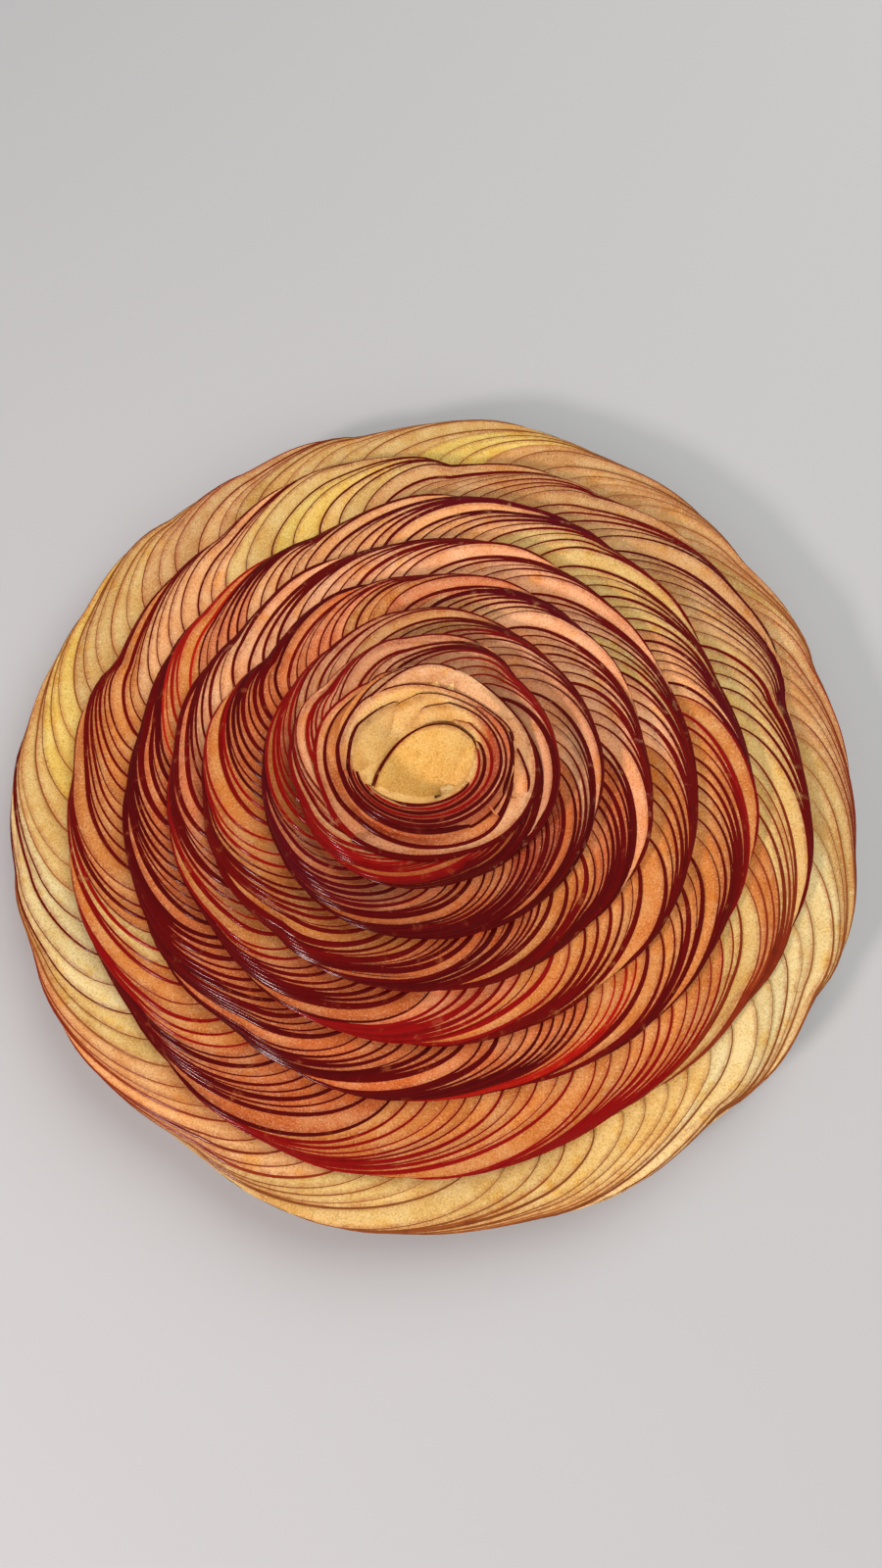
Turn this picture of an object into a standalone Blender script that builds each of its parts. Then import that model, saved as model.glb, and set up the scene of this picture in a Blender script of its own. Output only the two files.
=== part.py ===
"""French apple tart: fanned rings of thin fruit slices on a round pastry case, wound up to a rose heart.

Metres, +Z up, origin on the table under the middle of the case. Angles run clockwise as seen from above.
"""

import math
import random
from collections import namedtuple

import bmesh
import bpy

# Pastry case: a filled disc with a slightly flared side
CASE_HEIGHT = 0.018
CASE_RADIUS = 0.125
CASE_FOOT_RADIUS = 0.1215
CASE_EDGE = 0.0016
CASE_SIDES = 48

# Rings of slices, from the edge of the tart to its heart. Each ring is a run of half-moon slices that lie on
# each other like tiles: radius is the outline, shoulder the height of the crest, valley how far the ring drops
# behind its crest, x, y and oval place and shape the outline, sweep is the turn of one skin edge, and pieces the
# number of straight pieces that it is made of.
Ring = namedtuple("Ring", "radius shoulder valley x y oval slices sweep pieces thickness")
RINGS = (
    Ring(0.1354, 0.0226, 0.0008, 0.0000, 0.0005, 1.000, 72, 40, 4, 0.00080),
    Ring(0.1163, 0.0272, 0.0014, 0.0017, -0.0019, 1.020, 88, 42, 4, 0.00085),
    Ring(0.0982, 0.0327, 0.0020, 0.0023, 0.0000, 1.020, 84, 46, 4, 0.00090),
    Ring(0.0810, 0.0377, 0.0024, -0.0001, -0.0020, 1.015, 60, 52, 5, 0.00108),
    Ring(0.0685, 0.0427, 0.0028, -0.0021, -0.0025, 0.965, 64, 60, 5, 0.00110),
    Ring(0.0505, 0.0482, 0.0034, -0.0002, -0.0025, 1.020, 48, 80, 6, 0.00125),
    Ring(0.0395, 0.0537, 0.0036, -0.0018, -0.0017, 0.995, 39, 100, 7, 0.00133),
    Ring(0.0262, 0.0592, 0.0016, -0.0023, -0.0009, 1.000, 26, 85, 7, 0.00150),
)
TUCK = 0.005
EDGE_ROUND = (2.4, 1.7)
EDGE_GAIN = 1.5
CREST_TURN = 0.28
RIM_LOW = 0.0170
RIM_UNDERCUT = 0.0008
LEDGE_RADIUS = 0.1265
LEAST_WALL_SIDES = 12

# Fans: neighbouring slices bulge out together, so that the outline of a ring is scalloped
FAN_SEED = 7
FAN_SLICES = (6, 11)
FAN_BULGE = (0.0006, 0.0017)

# Clearances between solids that touch
GAP = 0.0003
SEAT_GAP = 0.0006

# Heart: the hollow in the middle of the rose, as (share of its radius, height) down to its floor
BOWL_RADIUS = 0.0182
BOWL_X = -0.0052
BOWL_Y = -0.0019
BOWL_OVAL = 0.94
BOWL_STEPS = ((0.95, 0.0545), (0.84, 0.0508), (0.62, 0.0478), (0.32, 0.0463))
BOWL_FLOOR = 0.0458
BOWL_SIDES = 26

# The last slice lies in the hollow: an arch of skin crosses it, and its face covers the near side
ARCH_X = 0.0018
ARCH_Y = -0.0042
ARCH_HALF_WIDTH = 0.0150
ARCH_HEIGHT = 0.0146
ARCH_TURN = 14
LINING_SHARE = 0.84
LINING_THICKNESS = 0.0015
LINING_CLEARANCE = 0.0005
LINING_GRID = (2, 24)

# Colours of the baked pastry, and of each ring from its flesh and skin together
PASTRY_COLOUR = (0.552, 0.270, 0.088)
RING_COLOURS = (
    (0.630, 0.400, 0.160),
    (0.546, 0.223, 0.070),
    (0.402, 0.114, 0.038),
    (0.428, 0.127, 0.045),
    (0.305, 0.061, 0.021),
    (0.285, 0.054, 0.021),
    (0.330, 0.063, 0.028),
    (0.370, 0.095, 0.050),
)
SLICE_COLOUR = (0.600, 0.360, 0.110)
FRUIT_ROUGHNESS = 0.3
PASTRY_ROUGHNESS = 0.75

Form = namedtuple("Form", "ring inner_radius inner_x inner_y inner_oval inner_z climb flare fall fans low rows")


def lerp(a, b, t):
    return a + (b - a) * t


def edge_reach(turn):
    """How far out a skin edge is (0 at its start, 1 at the rim) after a share of its turn."""
    p, q = EDGE_ROUND
    return (1 - (1 - turn) ** p) ** (1 / q)


def edge_rows(form):
    """Corners along one skin edge, as (turn, reach, height).

    Each straight piece gains some radius, so that an edge never crosses the next one round the ring.
    """
    ring = form.ring
    count = ring.pieces
    sagitta = ring.radius * (1 - math.cos(math.radians(ring.sweep) / count))
    gain = EDGE_GAIN * sagitta / (ring.radius - form.inner_radius)
    reaches = [edge_reach(k / count) for k in range(count + 1)]
    for k in reversed(range(count)):
        reaches[k] = min(reaches[k], reaches[k + 1] - gain)
    rows = []
    for k, reach in enumerate(reaches):
        rise = form.climb * lerp(reach, reach**2, form.flare)
        rows.append((k / count, reach, form.inner_z + rise - form.fall * k / count))
    return rows


def edge_height(rows, reach):
    """Height of a skin edge at a reach."""
    for (_, inner, low), (_, outer, high) in zip(rows, rows[1:]):
        if reach <= outer:
            return lerp(low, high, (reach - inner) / (outer - inner))
    return rows[-1][2]


def fan_layout(index, slices):
    """Fans round one ring: (first slice, number of slices, bulge of the outline)."""
    rng = random.Random(FAN_SEED + index)
    fans = []
    first = 0
    while first < slices:
        size = min(rng.randint(*FAN_SLICES), slices - first)
        if slices - first - size < FAN_SLICES[0]:
            size = slices - first
        fans.append((first, size, rng.uniform(*FAN_BULGE)))
        first += size
    return fans


def rim_bulge(form, angle):
    """How far the outline stands out at an angle, by the fan that ends there."""
    ring = form.ring
    step = 2 * math.pi / ring.slices
    place = ((angle - math.radians(ring.sweep)) / step) % ring.slices
    for first, size, bulge in form.fans:
        if first <= place < first + size:
            t = (place - first) / size
            return bulge * (1 - (2 * t - 1) ** 2) - bulge / 2
    return 0.0


def ring_forms():
    """Works out every ring from the outside in: each one rests on the ring around it."""
    forms = []
    low = RIM_LOW
    for index, ring in enumerate(RINGS):
        last = index == len(RINGS) - 1
        if last:
            inner = (BOWL_RADIUS, BOWL_X, BOWL_Y, BOWL_OVAL)
        else:
            following = RINGS[index + 1]
            inner = (following.radius - TUCK, following.x, following.y, following.oval)
        fall = ring.thickness * ring.slices / (2 * math.pi) * math.radians(ring.sweep)
        inner_z = ring.shoulder - ring.valley
        rim_z = low + ring.thickness + GAP
        climb = rim_z - inner_z + fall
        reach = edge_reach(CREST_TURN)
        wanted = (ring.valley + fall * CREST_TURN) / climb
        flare = (reach - wanted) / (reach - reach**2)
        fans = fan_layout(index, ring.slices)
        form = Form(ring, *inner, inner_z, climb, flare, fall, fans, low, ())
        form = form._replace(rows=edge_rows(form))
        forms.append(form)
        seat_reach = TUCK / (ring.radius - inner[0])
        low = edge_height(form.rows, seat_reach) + SEAT_GAP
    return forms


def plan_point(form, reach, angle, inset=0.0):
    """Plan position at a reach and an angle of the ring, with the bulges of its fans."""
    ring = form.ring
    radius = lerp(form.inner_radius, ring.radius, reach) - inset
    radius += rim_bulge(form, angle) * reach**2
    oval = lerp(form.inner_oval, ring.oval, reach)
    x = lerp(form.inner_x, ring.x, reach) + radius * math.cos(angle)
    y = lerp(form.inner_y, ring.y, reach) - radius * oval * math.sin(angle)
    return x, y


def level_loop(bm, count, centre_x, centre_y, radius, oval, z, phase=0.0):
    """A level loop of corners, as (angle, corner) pairs."""
    loop = []
    for i in range(count):
        angle = phase + i * 2 * math.pi / count
        x = centre_x + radius * math.cos(angle)
        y = centre_y - radius * oval * math.sin(angle)
        loop.append((angle, bm.verts.new((x, y, z))))
    return loop


def join_plain(bm, upper, lower):
    """Closes the band between two loops of corners, walking round both by angle."""
    i = j = 0
    n, m = len(upper), len(lower)
    while i < n or j < m:
        next_upper = upper[(i + 1) % n][0] + (2 * math.pi if i + 1 >= n else 0)
        next_lower = lower[(j + 1) % m][0] + (2 * math.pi if j + 1 >= m else 0)
        a, b = upper[i % n][1], lower[j % m][1]
        if j >= m or (i < n and next_upper <= next_lower):
            bm.faces.new((a, upper[(i + 1) % n][1], b))
            i += 1
        else:
            bm.faces.new((a, lower[(j + 1) % m][1], b))
            j += 1


def join_teeth(bm, teeth, plain):
    """Closes the band between a saw-toothed loop and a plain one.

    teeth holds (angle, foot, top) for each slice; a tooth is closed by a corner ahead of its step.
    """
    count = len(plain)
    step = 2 * math.pi / count
    start = plain[0][0]
    ahead = math.ceil((teeth[0][0] - start) / step - 1e-9)
    for k, (angle, foot, top) in enumerate(teeth):
        while start + ahead * step < angle - 1e-9:
            bm.faces.new((plain[ahead % count][1], plain[(ahead + 1) % count][1], foot))
            ahead += 1
        corner = plain[ahead % count][1]
        next_foot = teeth[(k + 1) % len(teeth)][1]
        bm.faces.new((foot, top, corner))
        bm.faces.new((top, next_foot, corner))
    closing = math.ceil((teeth[0][0] - start) / step - 1e-9) + count
    first_foot = teeth[0][1]
    while ahead < closing:
        bm.faces.new((plain[ahead % count][1], plain[(ahead + 1) % count][1], first_foot))
        ahead += 1


def tiled_top(bm, form):
    """The upper face of a ring: one thin step at each skin edge. Returns its inner and outer teeth."""
    ring = form.ring
    sweep = math.radians(ring.sweep)
    step = 2 * math.pi / ring.slices
    tops, feet = [], []
    for i in range(ring.slices):
        top, foot = [], []
        for turn, reach, z in form.rows:
            x, y = plan_point(form, reach, i * step + sweep * turn)
            top.append(bm.verts.new((x, y, z)))
            foot.append(bm.verts.new((x, y, z - ring.thickness)))
        tops.append(top)
        feet.append(foot)
    for i in range(ring.slices):
        top, foot, following = tops[i], feet[i], feet[(i + 1) % ring.slices]
        for j in range(ring.pieces):
            bm.faces.new((foot[j], foot[j + 1], top[j + 1], top[j]))
            bm.faces.new((top[j], top[j + 1], following[j]))
            bm.faces.new((following[j], top[j + 1], following[j + 1]))
    inner = [(i * step, feet[i][0], tops[i][0]) for i in range(ring.slices)]
    outer = [(i * step + sweep, feet[i][-1], tops[i][-1]) for i in range(ring.slices)]
    return inner, outer


def under_rim(bm, form, outer):
    """Turns the outline under: one corner for each slice, a little ahead of its step."""
    ring = form.ring
    step = 2 * math.pi / ring.slices
    corners = []
    for angle, _, _ in outer:
        x, y = plan_point(form, 1.0, angle + step / 3, RIM_UNDERCUT)
        corners.append((angle + step / 3, bm.verts.new((x, y, form.low))))
    for k, (_, foot, top) in enumerate(outer):
        corner = corners[k][1]
        next_corner = corners[(k + 1) % len(corners)][1]
        next_foot = outer[(k + 1) % len(outer)][1]
        bm.faces.new((foot, top, corner))
        bm.faces.new((top, next_foot, corner))
        bm.faces.new((corner, next_foot, next_corner))
    turned = 2 * math.pi
    order = sorted(range(len(corners)), key=lambda k: corners[k][0] % turned)
    return [(corners[k][0] % turned, corners[k][1]) for k in order]


def link(bm, name, collection, colour, roughness):
    """Turns a finished set of faces into a named, smooth-shaded object."""
    bmesh.ops.recalc_face_normals(bm, faces=bm.faces[:])
    if bm.calc_volume(signed=True) < 0:
        bmesh.ops.reverse_faces(bm, faces=bm.faces[:])
    mesh = bpy.data.meshes.new(name)
    bm.to_mesh(mesh)
    bm.free()
    return place(name, mesh, collection, colour, roughness)


def place(name, mesh, collection, colour, roughness):
    material = bpy.data.materials.new(name)
    material.use_nodes = True
    principled = material.node_tree.nodes["Principled BSDF"]
    principled.inputs["Base Color"].default_value = (*colour, 1.0)
    principled.inputs["Roughness"].default_value = roughness
    principled.inputs["Metallic"].default_value = 0.0
    mesh.materials.append(material)
    mesh.shade_smooth()
    mesh.set_sharp_from_angle(angle=math.radians(35))
    obj = bpy.data.objects.new(name, mesh)
    collection.objects.link(obj)
    return obj


def wall_sides(form):
    """Corners round the plain walls of a ring, which the slices hide: one for every few slices."""
    slices = form.ring.slices
    return min(slices // k for k in (2, 3, 4) if slices % k == 0 and slices // k >= LEAST_WALL_SIDES)


def ring_solid(forms, index, collection):
    """One ring: tiled top, undercut rim, a ledge that rests on the ring around it, and an upright foot."""
    form = forms[index]
    ring = form.ring
    bm = bmesh.new()
    inner, outer = tiled_top(bm, form)
    rim = under_rim(bm, form, outer)
    sides = wall_sides(form)
    floor_z = CASE_HEIGHT + GAP
    if index == 0:
        foot_radius = LEDGE_RADIUS
        ledge = level_loop(bm, sides, 0.0, 0.0, foot_radius, 1.0, floor_z)
        join_plain(bm, rim, ledge)
        outer_foot = ledge
    else:
        around = forms[index - 1]
        sag = math.cos(math.pi / wall_sides(around))
        foot_radius = around.inner_radius * sag - GAP
        ledge_z = around.inner_z + SEAT_GAP
        ledge = level_loop(bm, sides, ring.x, ring.y, foot_radius, ring.oval, ledge_z)
        outer_foot = level_loop(bm, sides, ring.x, ring.y, foot_radius, ring.oval, floor_z)
        join_plain(bm, rim, ledge)
        join_plain(bm, ledge, outer_foot)
    if index == len(forms) - 1:
        line_bowl(bm, form, inner)
        bm.faces.new([corner for _, corner in outer_foot])
    else:
        phase = 2 * math.pi / ring.slices / 3
        centre_and_size = form.inner_x, form.inner_y, form.inner_radius, form.inner_oval
        inner_foot = level_loop(bm, sides, *centre_and_size, floor_z, phase)
        join_teeth(bm, inner, inner_foot)
        join_plain(bm, outer_foot, inner_foot)
    return link(bm, f"fruit_ring_{index + 1}", collection, RING_COLOURS[index], FRUIT_ROUGHNESS)


def line_bowl(bm, form, inner):
    """The hollow of the heart: a rounded wall down to a small floor."""
    above = None
    for share, z in BOWL_STEPS:
        loop = level_loop(
            bm, BOWL_SIDES, form.inner_x, form.inner_y, form.inner_radius * share, form.inner_oval, z
        )
        if above is None:
            join_teeth(bm, inner, loop)
        else:
            join_plain(bm, above, loop)
        above = loop
    floor = bm.verts.new((form.inner_x, form.inner_y, BOWL_FLOOR))
    for k in range(BOWL_SIDES):
        bm.faces.new((above[k][1], above[(k + 1) % BOWL_SIDES][1], floor))


def pastry_case(collection):
    """A turned profile, down its outer side from the middle of the top to the middle of the base."""
    flare = (CASE_RADIUS - CASE_FOOT_RADIUS) * CASE_EDGE / CASE_HEIGHT
    profile = (
        (0.0, CASE_HEIGHT),
        (CASE_RADIUS - CASE_EDGE, CASE_HEIGHT),
        (CASE_RADIUS - flare, CASE_HEIGHT - CASE_EDGE),
        (CASE_FOOT_RADIUS + flare, CASE_EDGE),
        (CASE_FOOT_RADIUS - CASE_EDGE, 0.0),
        (0.0, 0.0),
    )
    mesh = bpy.data.meshes.new("pastry_case")
    corners = [(x, 0.0, z) for x, z in profile]
    mesh.from_pydata(corners, [(i, i + 1) for i in range(len(corners) - 1)], [])
    obj = place("pastry_case", mesh, collection, PASTRY_COLOUR, PASTRY_ROUGHNESS)
    turn = obj.modifiers.new("turn", "SCREW")
    turn.axis = "Z"
    turn.steps = turn.render_steps = CASE_SIDES
    turn.use_merge_vertices = True
    turn.merge_threshold = 0.00005
    return obj


def bowl_height(share):
    """Height of the faceted hollow at a share of its radius."""
    steps = ((0.0, BOWL_FLOOR), *reversed(BOWL_STEPS))
    for (inner, low), (outer, high) in zip(steps, steps[1:]):
        if share <= outer:
            return lerp(low, high, (share - inner) / (outer - inner))
    return steps[-1][1]


def arch_point(angle):
    """Edge of the last slice, from the middle of the hollow: an arch on the far side, the wall on the near one."""
    across = ARCH_HALF_WIDTH * math.cos(angle)
    along = ARCH_HEIGHT * math.sin(angle)
    turn = math.radians(ARCH_TURN)
    x = ARCH_X + across * math.cos(turn) - along * math.sin(turn)
    y = ARCH_Y + across * math.sin(turn) + along * math.cos(turn)
    share = math.hypot(x, y / BOWL_OVAL) / BOWL_RADIUS
    limit = min(1.0, LINING_SHARE / share)
    return x * limit, y * limit


def heart_slice(collection):
    """The last slice: a thin face that follows the hollow, a little clear of it."""
    rings, sectors = LINING_GRID
    bm = bmesh.new()

    def corner(x, y, lift):
        share = math.hypot(x, y / BOWL_OVAL) / BOWL_RADIUS
        return bm.verts.new((BOWL_X + x, BOWL_Y + y, bowl_height(share) + lift))

    sheets = []
    for lift in (LINING_CLEARANCE, LINING_CLEARANCE + LINING_THICKNESS):
        sheet = [[corner(ARCH_X, ARCH_Y, lift)]]
        for i in range(1, rings + 1):
            line = []
            for j in range(sectors):
                x, y = arch_point(2 * math.pi * j / sectors)
                line.append(corner(lerp(ARCH_X, x, i / rings), lerp(ARCH_Y, y, i / rings), lift))
            sheet.append(line)
        sheets.append(sheet)
    for sheet in sheets:
        centre = sheet[0][0]
        for j in range(sectors):
            k = (j + 1) % sectors
            bm.faces.new((centre, sheet[1][j], sheet[1][k]))
            for i in range(1, rings):
                bm.faces.new((sheet[i][j], sheet[i + 1][j], sheet[i + 1][k], sheet[i][k]))
    under, upper = sheets[0][-1], sheets[1][-1]
    for j in range(sectors):
        k = (j + 1) % sectors
        bm.faces.new((under[j], under[k], upper[k], upper[j]))
    return link(bm, "heart_slice", collection, SLICE_COLOUR, FRUIT_ROUGHNESS)


def main():
    for obj in list(bpy.data.objects):
        bpy.data.objects.remove(obj)
    collection = bpy.data.collections.new("french_apple_tart")
    bpy.context.scene.collection.children.link(collection)
    pastry_case(collection)
    forms = ring_forms()
    for index in range(len(forms)):
        ring_solid(forms, index, collection)
    heart_slice(collection)


main()
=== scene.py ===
"""Fruit rose tart: fanned rings of thin unpeeled slices on a round pastry case, wound up to a rose heart.

Metres, +Z up, origin on the table under the middle of the case. Angles run clockwise as seen from above.
"""

import math
import random
from collections import namedtuple

import bmesh
import bpy
import numpy as np
from bpy.props import FloatProperty, FloatVectorProperty, IntProperty, PointerProperty
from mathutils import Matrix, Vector, noise


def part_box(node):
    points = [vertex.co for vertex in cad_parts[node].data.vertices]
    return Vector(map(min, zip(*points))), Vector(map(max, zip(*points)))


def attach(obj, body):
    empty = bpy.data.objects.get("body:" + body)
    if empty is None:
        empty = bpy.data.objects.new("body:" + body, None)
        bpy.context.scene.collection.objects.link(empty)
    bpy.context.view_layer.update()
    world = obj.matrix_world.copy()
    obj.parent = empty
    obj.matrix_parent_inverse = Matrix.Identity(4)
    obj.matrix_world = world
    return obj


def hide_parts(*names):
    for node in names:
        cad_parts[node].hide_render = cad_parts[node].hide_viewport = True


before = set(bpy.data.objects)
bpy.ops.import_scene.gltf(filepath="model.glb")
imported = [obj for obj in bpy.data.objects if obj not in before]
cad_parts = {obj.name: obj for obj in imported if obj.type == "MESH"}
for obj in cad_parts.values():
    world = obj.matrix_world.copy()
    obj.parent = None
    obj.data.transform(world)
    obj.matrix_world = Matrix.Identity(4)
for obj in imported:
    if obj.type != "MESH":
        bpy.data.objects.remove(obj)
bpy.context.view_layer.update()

bl_info = {
    "name": "Fruit Rose Tart",
    "version": (1, 0, 0),
    "blender": (4, 5, 0),
    "location": "3D View > Sidebar > Tart",
    "description": "Builds a rose tart of thin unpeeled fruit slices on a pastry case",
    "category": "Add Mesh",
}

BODY = "root"
MM = 0.001
TURN = 2 * math.pi

# Rings from the edge of the tart to its heart: outline radius, height of the crest, drop behind the crest,
# place and oval of the outline, number of slices, turn of one skin edge in degrees, height that the slices of
# one full turn would stack to, and width of a skin line
Ring = namedtuple("Ring", "radius shoulder valley x y oval slices sweep stack skin_width")
RINGS = (
    Ring(0.1354, 0.0226, 0.0008, 0.0000, 0.0005, 1.000, 80, 38, 0.0576, 0.00048),
    Ring(0.1163, 0.0272, 0.0014, 0.0017, -0.0019, 1.020, 98, 42, 0.0748, 0.00082),
    Ring(0.0982, 0.0327, 0.0020, 0.0023, 0.0000, 1.020, 96, 46, 0.0756, 0.00108),
    Ring(0.0810, 0.0377, 0.0024, -0.0001, -0.0020, 1.015, 72, 52, 0.0648, 0.00122),
    Ring(0.0685, 0.0427, 0.0028, -0.0021, -0.0025, 0.965, 74, 60, 0.0704, 0.00122),
    Ring(0.0505, 0.0482, 0.0034, -0.0002, -0.0025, 1.020, 56, 86, 0.0600, 0.00112),
    Ring(0.0395, 0.0537, 0.0036, -0.0018, -0.0017, 0.995, 44, 115, 0.0519, 0.00108),
    Ring(0.0262, 0.0592, 0.0016, -0.0023, -0.0009, 1.000, 32, 150, 0.0390, 0.00090),
)

# How the rings fit the solids: thickness of the slices there, how far a ring goes under the next one, the
# curve of a skin edge and where on it the crest is, the lowest height of the rim, and the gaps between rings
CAD_THICKNESS = (0.00080, 0.00085, 0.00090, 0.00108, 0.00110, 0.00125, 0.00133, 0.00150)
TUCK = 0.005
EDGE_ROUND = (2.4, 1.7)
CREST_TURN = 0.28
RIM_LOW = 0.0170
GAP = 0.0003
SEAT_GAP = 0.0006

# The cores under the slices: height of their foot, radius of the first one on the case, and sides round them
CORE_FLOOR = 0.0183
CORE_FOOT = 0.1262
CORE_GAP = 0.0004
CORE_SEGMENTS = 144
HEART_SEGMENTS = 96

# Hollow of the heart: its edge, the height of its floor, and how far its dish and its wall rise above that
BOWL_RADIUS = 0.0182
BOWL_X = -0.0052
BOWL_Y = -0.0019
BOWL_OVAL = 0.94
BOWL_FLOOR = 0.0458
BOWL_DISH = 0.0062
BOWL_WALL = 0.0056

# Fans of each ring by where they end at the rim: angle in degrees, how far the outline stands out at that tip
# and how far it bulges before it, in millimetres. BULGE_PEAK brings the bulge's highest point to that value.
BULGE_PEAK = 6.75
FANS = (
    ((7, 0.2, 0.3), (30, 0.0, 2.9), (50, -2.3, 2.4), (77, 0.3, 1.8), (122, -3.1, 3.2), (155, -0.4, 2.0),
     (167, -0.8, 0.8), (187, -0.8, 1.4), (207, -2.7, 0.5), (226, -2.7, 2.2), (240, -2.9, 0.8),
     (258, -2.7, 2.2), (294, 0.6, 3.0), (323, -2.7, 2.0), (342, -2.3, 2.2)),
    ((35, -2.0, 3.8), (62, -5.0, 0.3), (106, 1.9, 0.6), (143, -1.3, 1.2), (180, -0.2, 1.6), (201, -3.2, 3.4),
     (229, -3.1, 1.6), (252, 3.0, 2.0), (272, -2.2, 2.8), (298, 0.0, 2.5), (325, 3.6, 1.5), (346, -0.5, 3.6)),
    ((27, 0.0, 2.6), (60, -1.0, 0.8), (80, -2.4, 0.2), (127, -0.3, 2.2), (152, 1.8, 1.6), (188, -1.8, 1.4),
     (215, -3.4, 2.0), (242, -5.6, 1.8), (285, 0.3, 2.0), (305, -0.5, 1.6), (340, -2.7, 0.8)),
    ((70, -0.5, 1.8), (105, 0.1, 0.4), (143, -0.6, 1.2), (180, 0.1, 1.3), (216, -2.7, 2.2), (257, 0.1, 1.0),
     (315, 0.1, 1.2), (340, 0.9, 0.3)),
    ((45, 0.0, 2.6), (100, 0.8, 1.0), (130, -0.8, 1.4), (167, 0.2, 1.4), (217, -5.2, 2.8), (267, 0.7, 2.0),
     (312, 1.6, 1.6), (350, -0.2, 0.5)),
    ((40, 1.2, 0.5), (90, 0.7, 0.7), (150, 1.3, 1.6), (200, 0.1, 0.3), (230, -1.0, 0.3), (285, 1.0, 0.8),
     (315, 0.0, 0.5)),
    ((70, -0.4, 2.0), (155, 0.0, 1.9), (215, -1.6, 3.0), (260, -0.8, 1.4), (315, -1.6, 3.1)),
    ((43, 0.6, 0.8), (155, 0.0, 0.6), (250, -0.4, 0.8), (340, 0.2, 0.6)),
)

# Runs of like slices by where they start in the middle of the band: angle in degrees, flesh, skin, width of
# the skin line and spacing of the slices. MID_TURN is the share of its turn that brings a skin edge there.
MID_TURN = 0.2
RUNS = (
    ((0, "wheat", "brown", 1, 1), (10, "cream", "brown", 0.9, 1.1), (50, "gold", "brown", 1, 1),
     (110, "peach", "chestnut", 1.1, 1), (137, "gold", "brown", 1, 1.1), (150, "cream", "maroon", 1.3, 1.1),
     (168, "gold", "brown", 1, 1), (180, "pear", "brown", 0.9, 1), (197, "wheat", "brown", 1, 1),
     (217, "buff", "chestnut", 1.2, 0.9), (238, "wheat", "brown", 1, 1), (272, "pear", "brown", 0.9, 1),
     (285, "buff", "brown", 1, 0.95), (322, "wheat", "brown", 1, 1), (330, "buff", "chestnut", 1, 0.95)),
    ((0, "gold", "chestnut", 1, 1), (14, "honey", "chestnut", 1, 1), (25, "gold", "chestnut", 1, 1),
     (35, "honey", "crimson", 0.9, 1), (78, "honey", "crimson", 1.1, 0.9), (104, "rust", "wine", 1.15, 0.8),
     (130, "honey", "crimson", 1, 1), (148, "gold", "crimson", 0.9, 1), (157, "honey", "maroon", 1.25, 0.8),
     (201, "tan", "maroon", 0.9, 1.15), (229, "gold", "maroon", 0.8, 1.5), (240, "pear", "maroon", 0.8, 1.6),
     (249, "gold", "maroon", 0.9, 1.3), (258, "buff", "maroon", 1.3, 1.1), (270, "buff", "maroon", 0.9, 1),
     (306, "buff", "purple", 1.2, 0.9), (326, "buff", "purple", 1, 1), (334, "wheat", "maroon", 1.3, 1),
     (346, "gold", "maroon", 0.9, 1)),
    ((0, "honey", "maroon", 1.1, 1), (47, "honey", "scarlet", 1, 0.95), (60, "rust", "wine", 1.1, 0.8),
     (155, "rust", "wine", 1.2, 0.9), (190, "honey", "scarlet", 0.8, 1), (205, "rose", "wine", 1, 1),
     (227, "tan", "maroon", 0.9, 1.1), (247, "tan", "purple", 1, 1), (287, "gold", "maroon", 0.9, 1.1),
     (327, "tan", "purple", 1.2, 0.85), (345, "honey", "crimson", 1.1, 1)),
    ((0, "honey", "maroon", 1, 1), (57, "honey", "crimson", 1, 0.95), (73, "rose", "crimson", 1, 0.95),
     (97, "rust", "wine", 1.1, 0.85), (130, "honey", "crimson", 0.9, 1), (150, "rose", "maroon", 1.1, 0.95),
     (180, "rose", "wine", 1, 1), (190, "blush", "maroon", 0.9, 1.3), (250, "blush", "maroon", 0.9, 1),
     (317, "gold", "maroon", 0.8, 1.1), (337, "blush", "maroon", 1, 1)),
    ((0, "rust", "wine", 1.1, 0.95), (33, "honey", "maroon", 1, 0.95), (60, "rust", "wine", 1.15, 0.75),
     (100, "honey", "maroon", 1, 1), (150, "honey", "crimson", 0.9, 1), (178, "rust", "wine", 1.1, 0.85),
     (217, "rose", "maroon", 0.9, 1.1), (245, "honey", "maroon", 0.8, 1.1), (260, "rose", "maroon", 0.9, 1),
     (270, "tan", "purple", 1, 0.95), (297, "blush", "maroon", 0.9, 1.05)),
    ((0, "rust", "wine", 1, 1), (23, "stained", "wine", 1.1, 0.8), (60, "rust", "wine", 1, 0.85),
     (90, "rose", "purple", 0.9, 1), (153, "honey", "crimson", 0.9, 1), (175, "rose", "crimson", 0.8, 1.2),
     (197, "blush", "maroon", 0.8, 1.4), (233, "peach", "maroon", 0.8, 1.5),
     (270, "blush", "crimson", 1.1, 1.3), (290, "blush", "maroon", 1, 1.3), (322, "blush", "wine", 1, 1.3),
     (340, "blush", "wine", 1, 1.2)),
    ((0, "rust", "wine", 1, 0.9), (53, "rust", "crimson", 0.9, 0.95), (90, "tan", "crimson", 0.8, 1.1),
     (125, "blush", "crimson", 0.8, 1.2), (213, "blush", "maroon", 0.9, 1.3),
     (267, "blush", "crimson", 1.1, 1.6), (297, "blush", "crimson", 1, 1.4),
     (330, "blush", "wine", 1.1, 1.3)),
)

# Small differences between slices: steps in the width of the skin lines, the wider skin of the first slice of
# a fan, and how much the tones of flesh and skin change
SKIN_WIDTHS = (0.5, 0.7, 0.85, 0.95, 1.0, 1.1, 1.3, 1.7)
FAN_SKIN = 1.5
FLESH_SPREAD = 0.10
SKIN_SPREAD = 0.22

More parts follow.
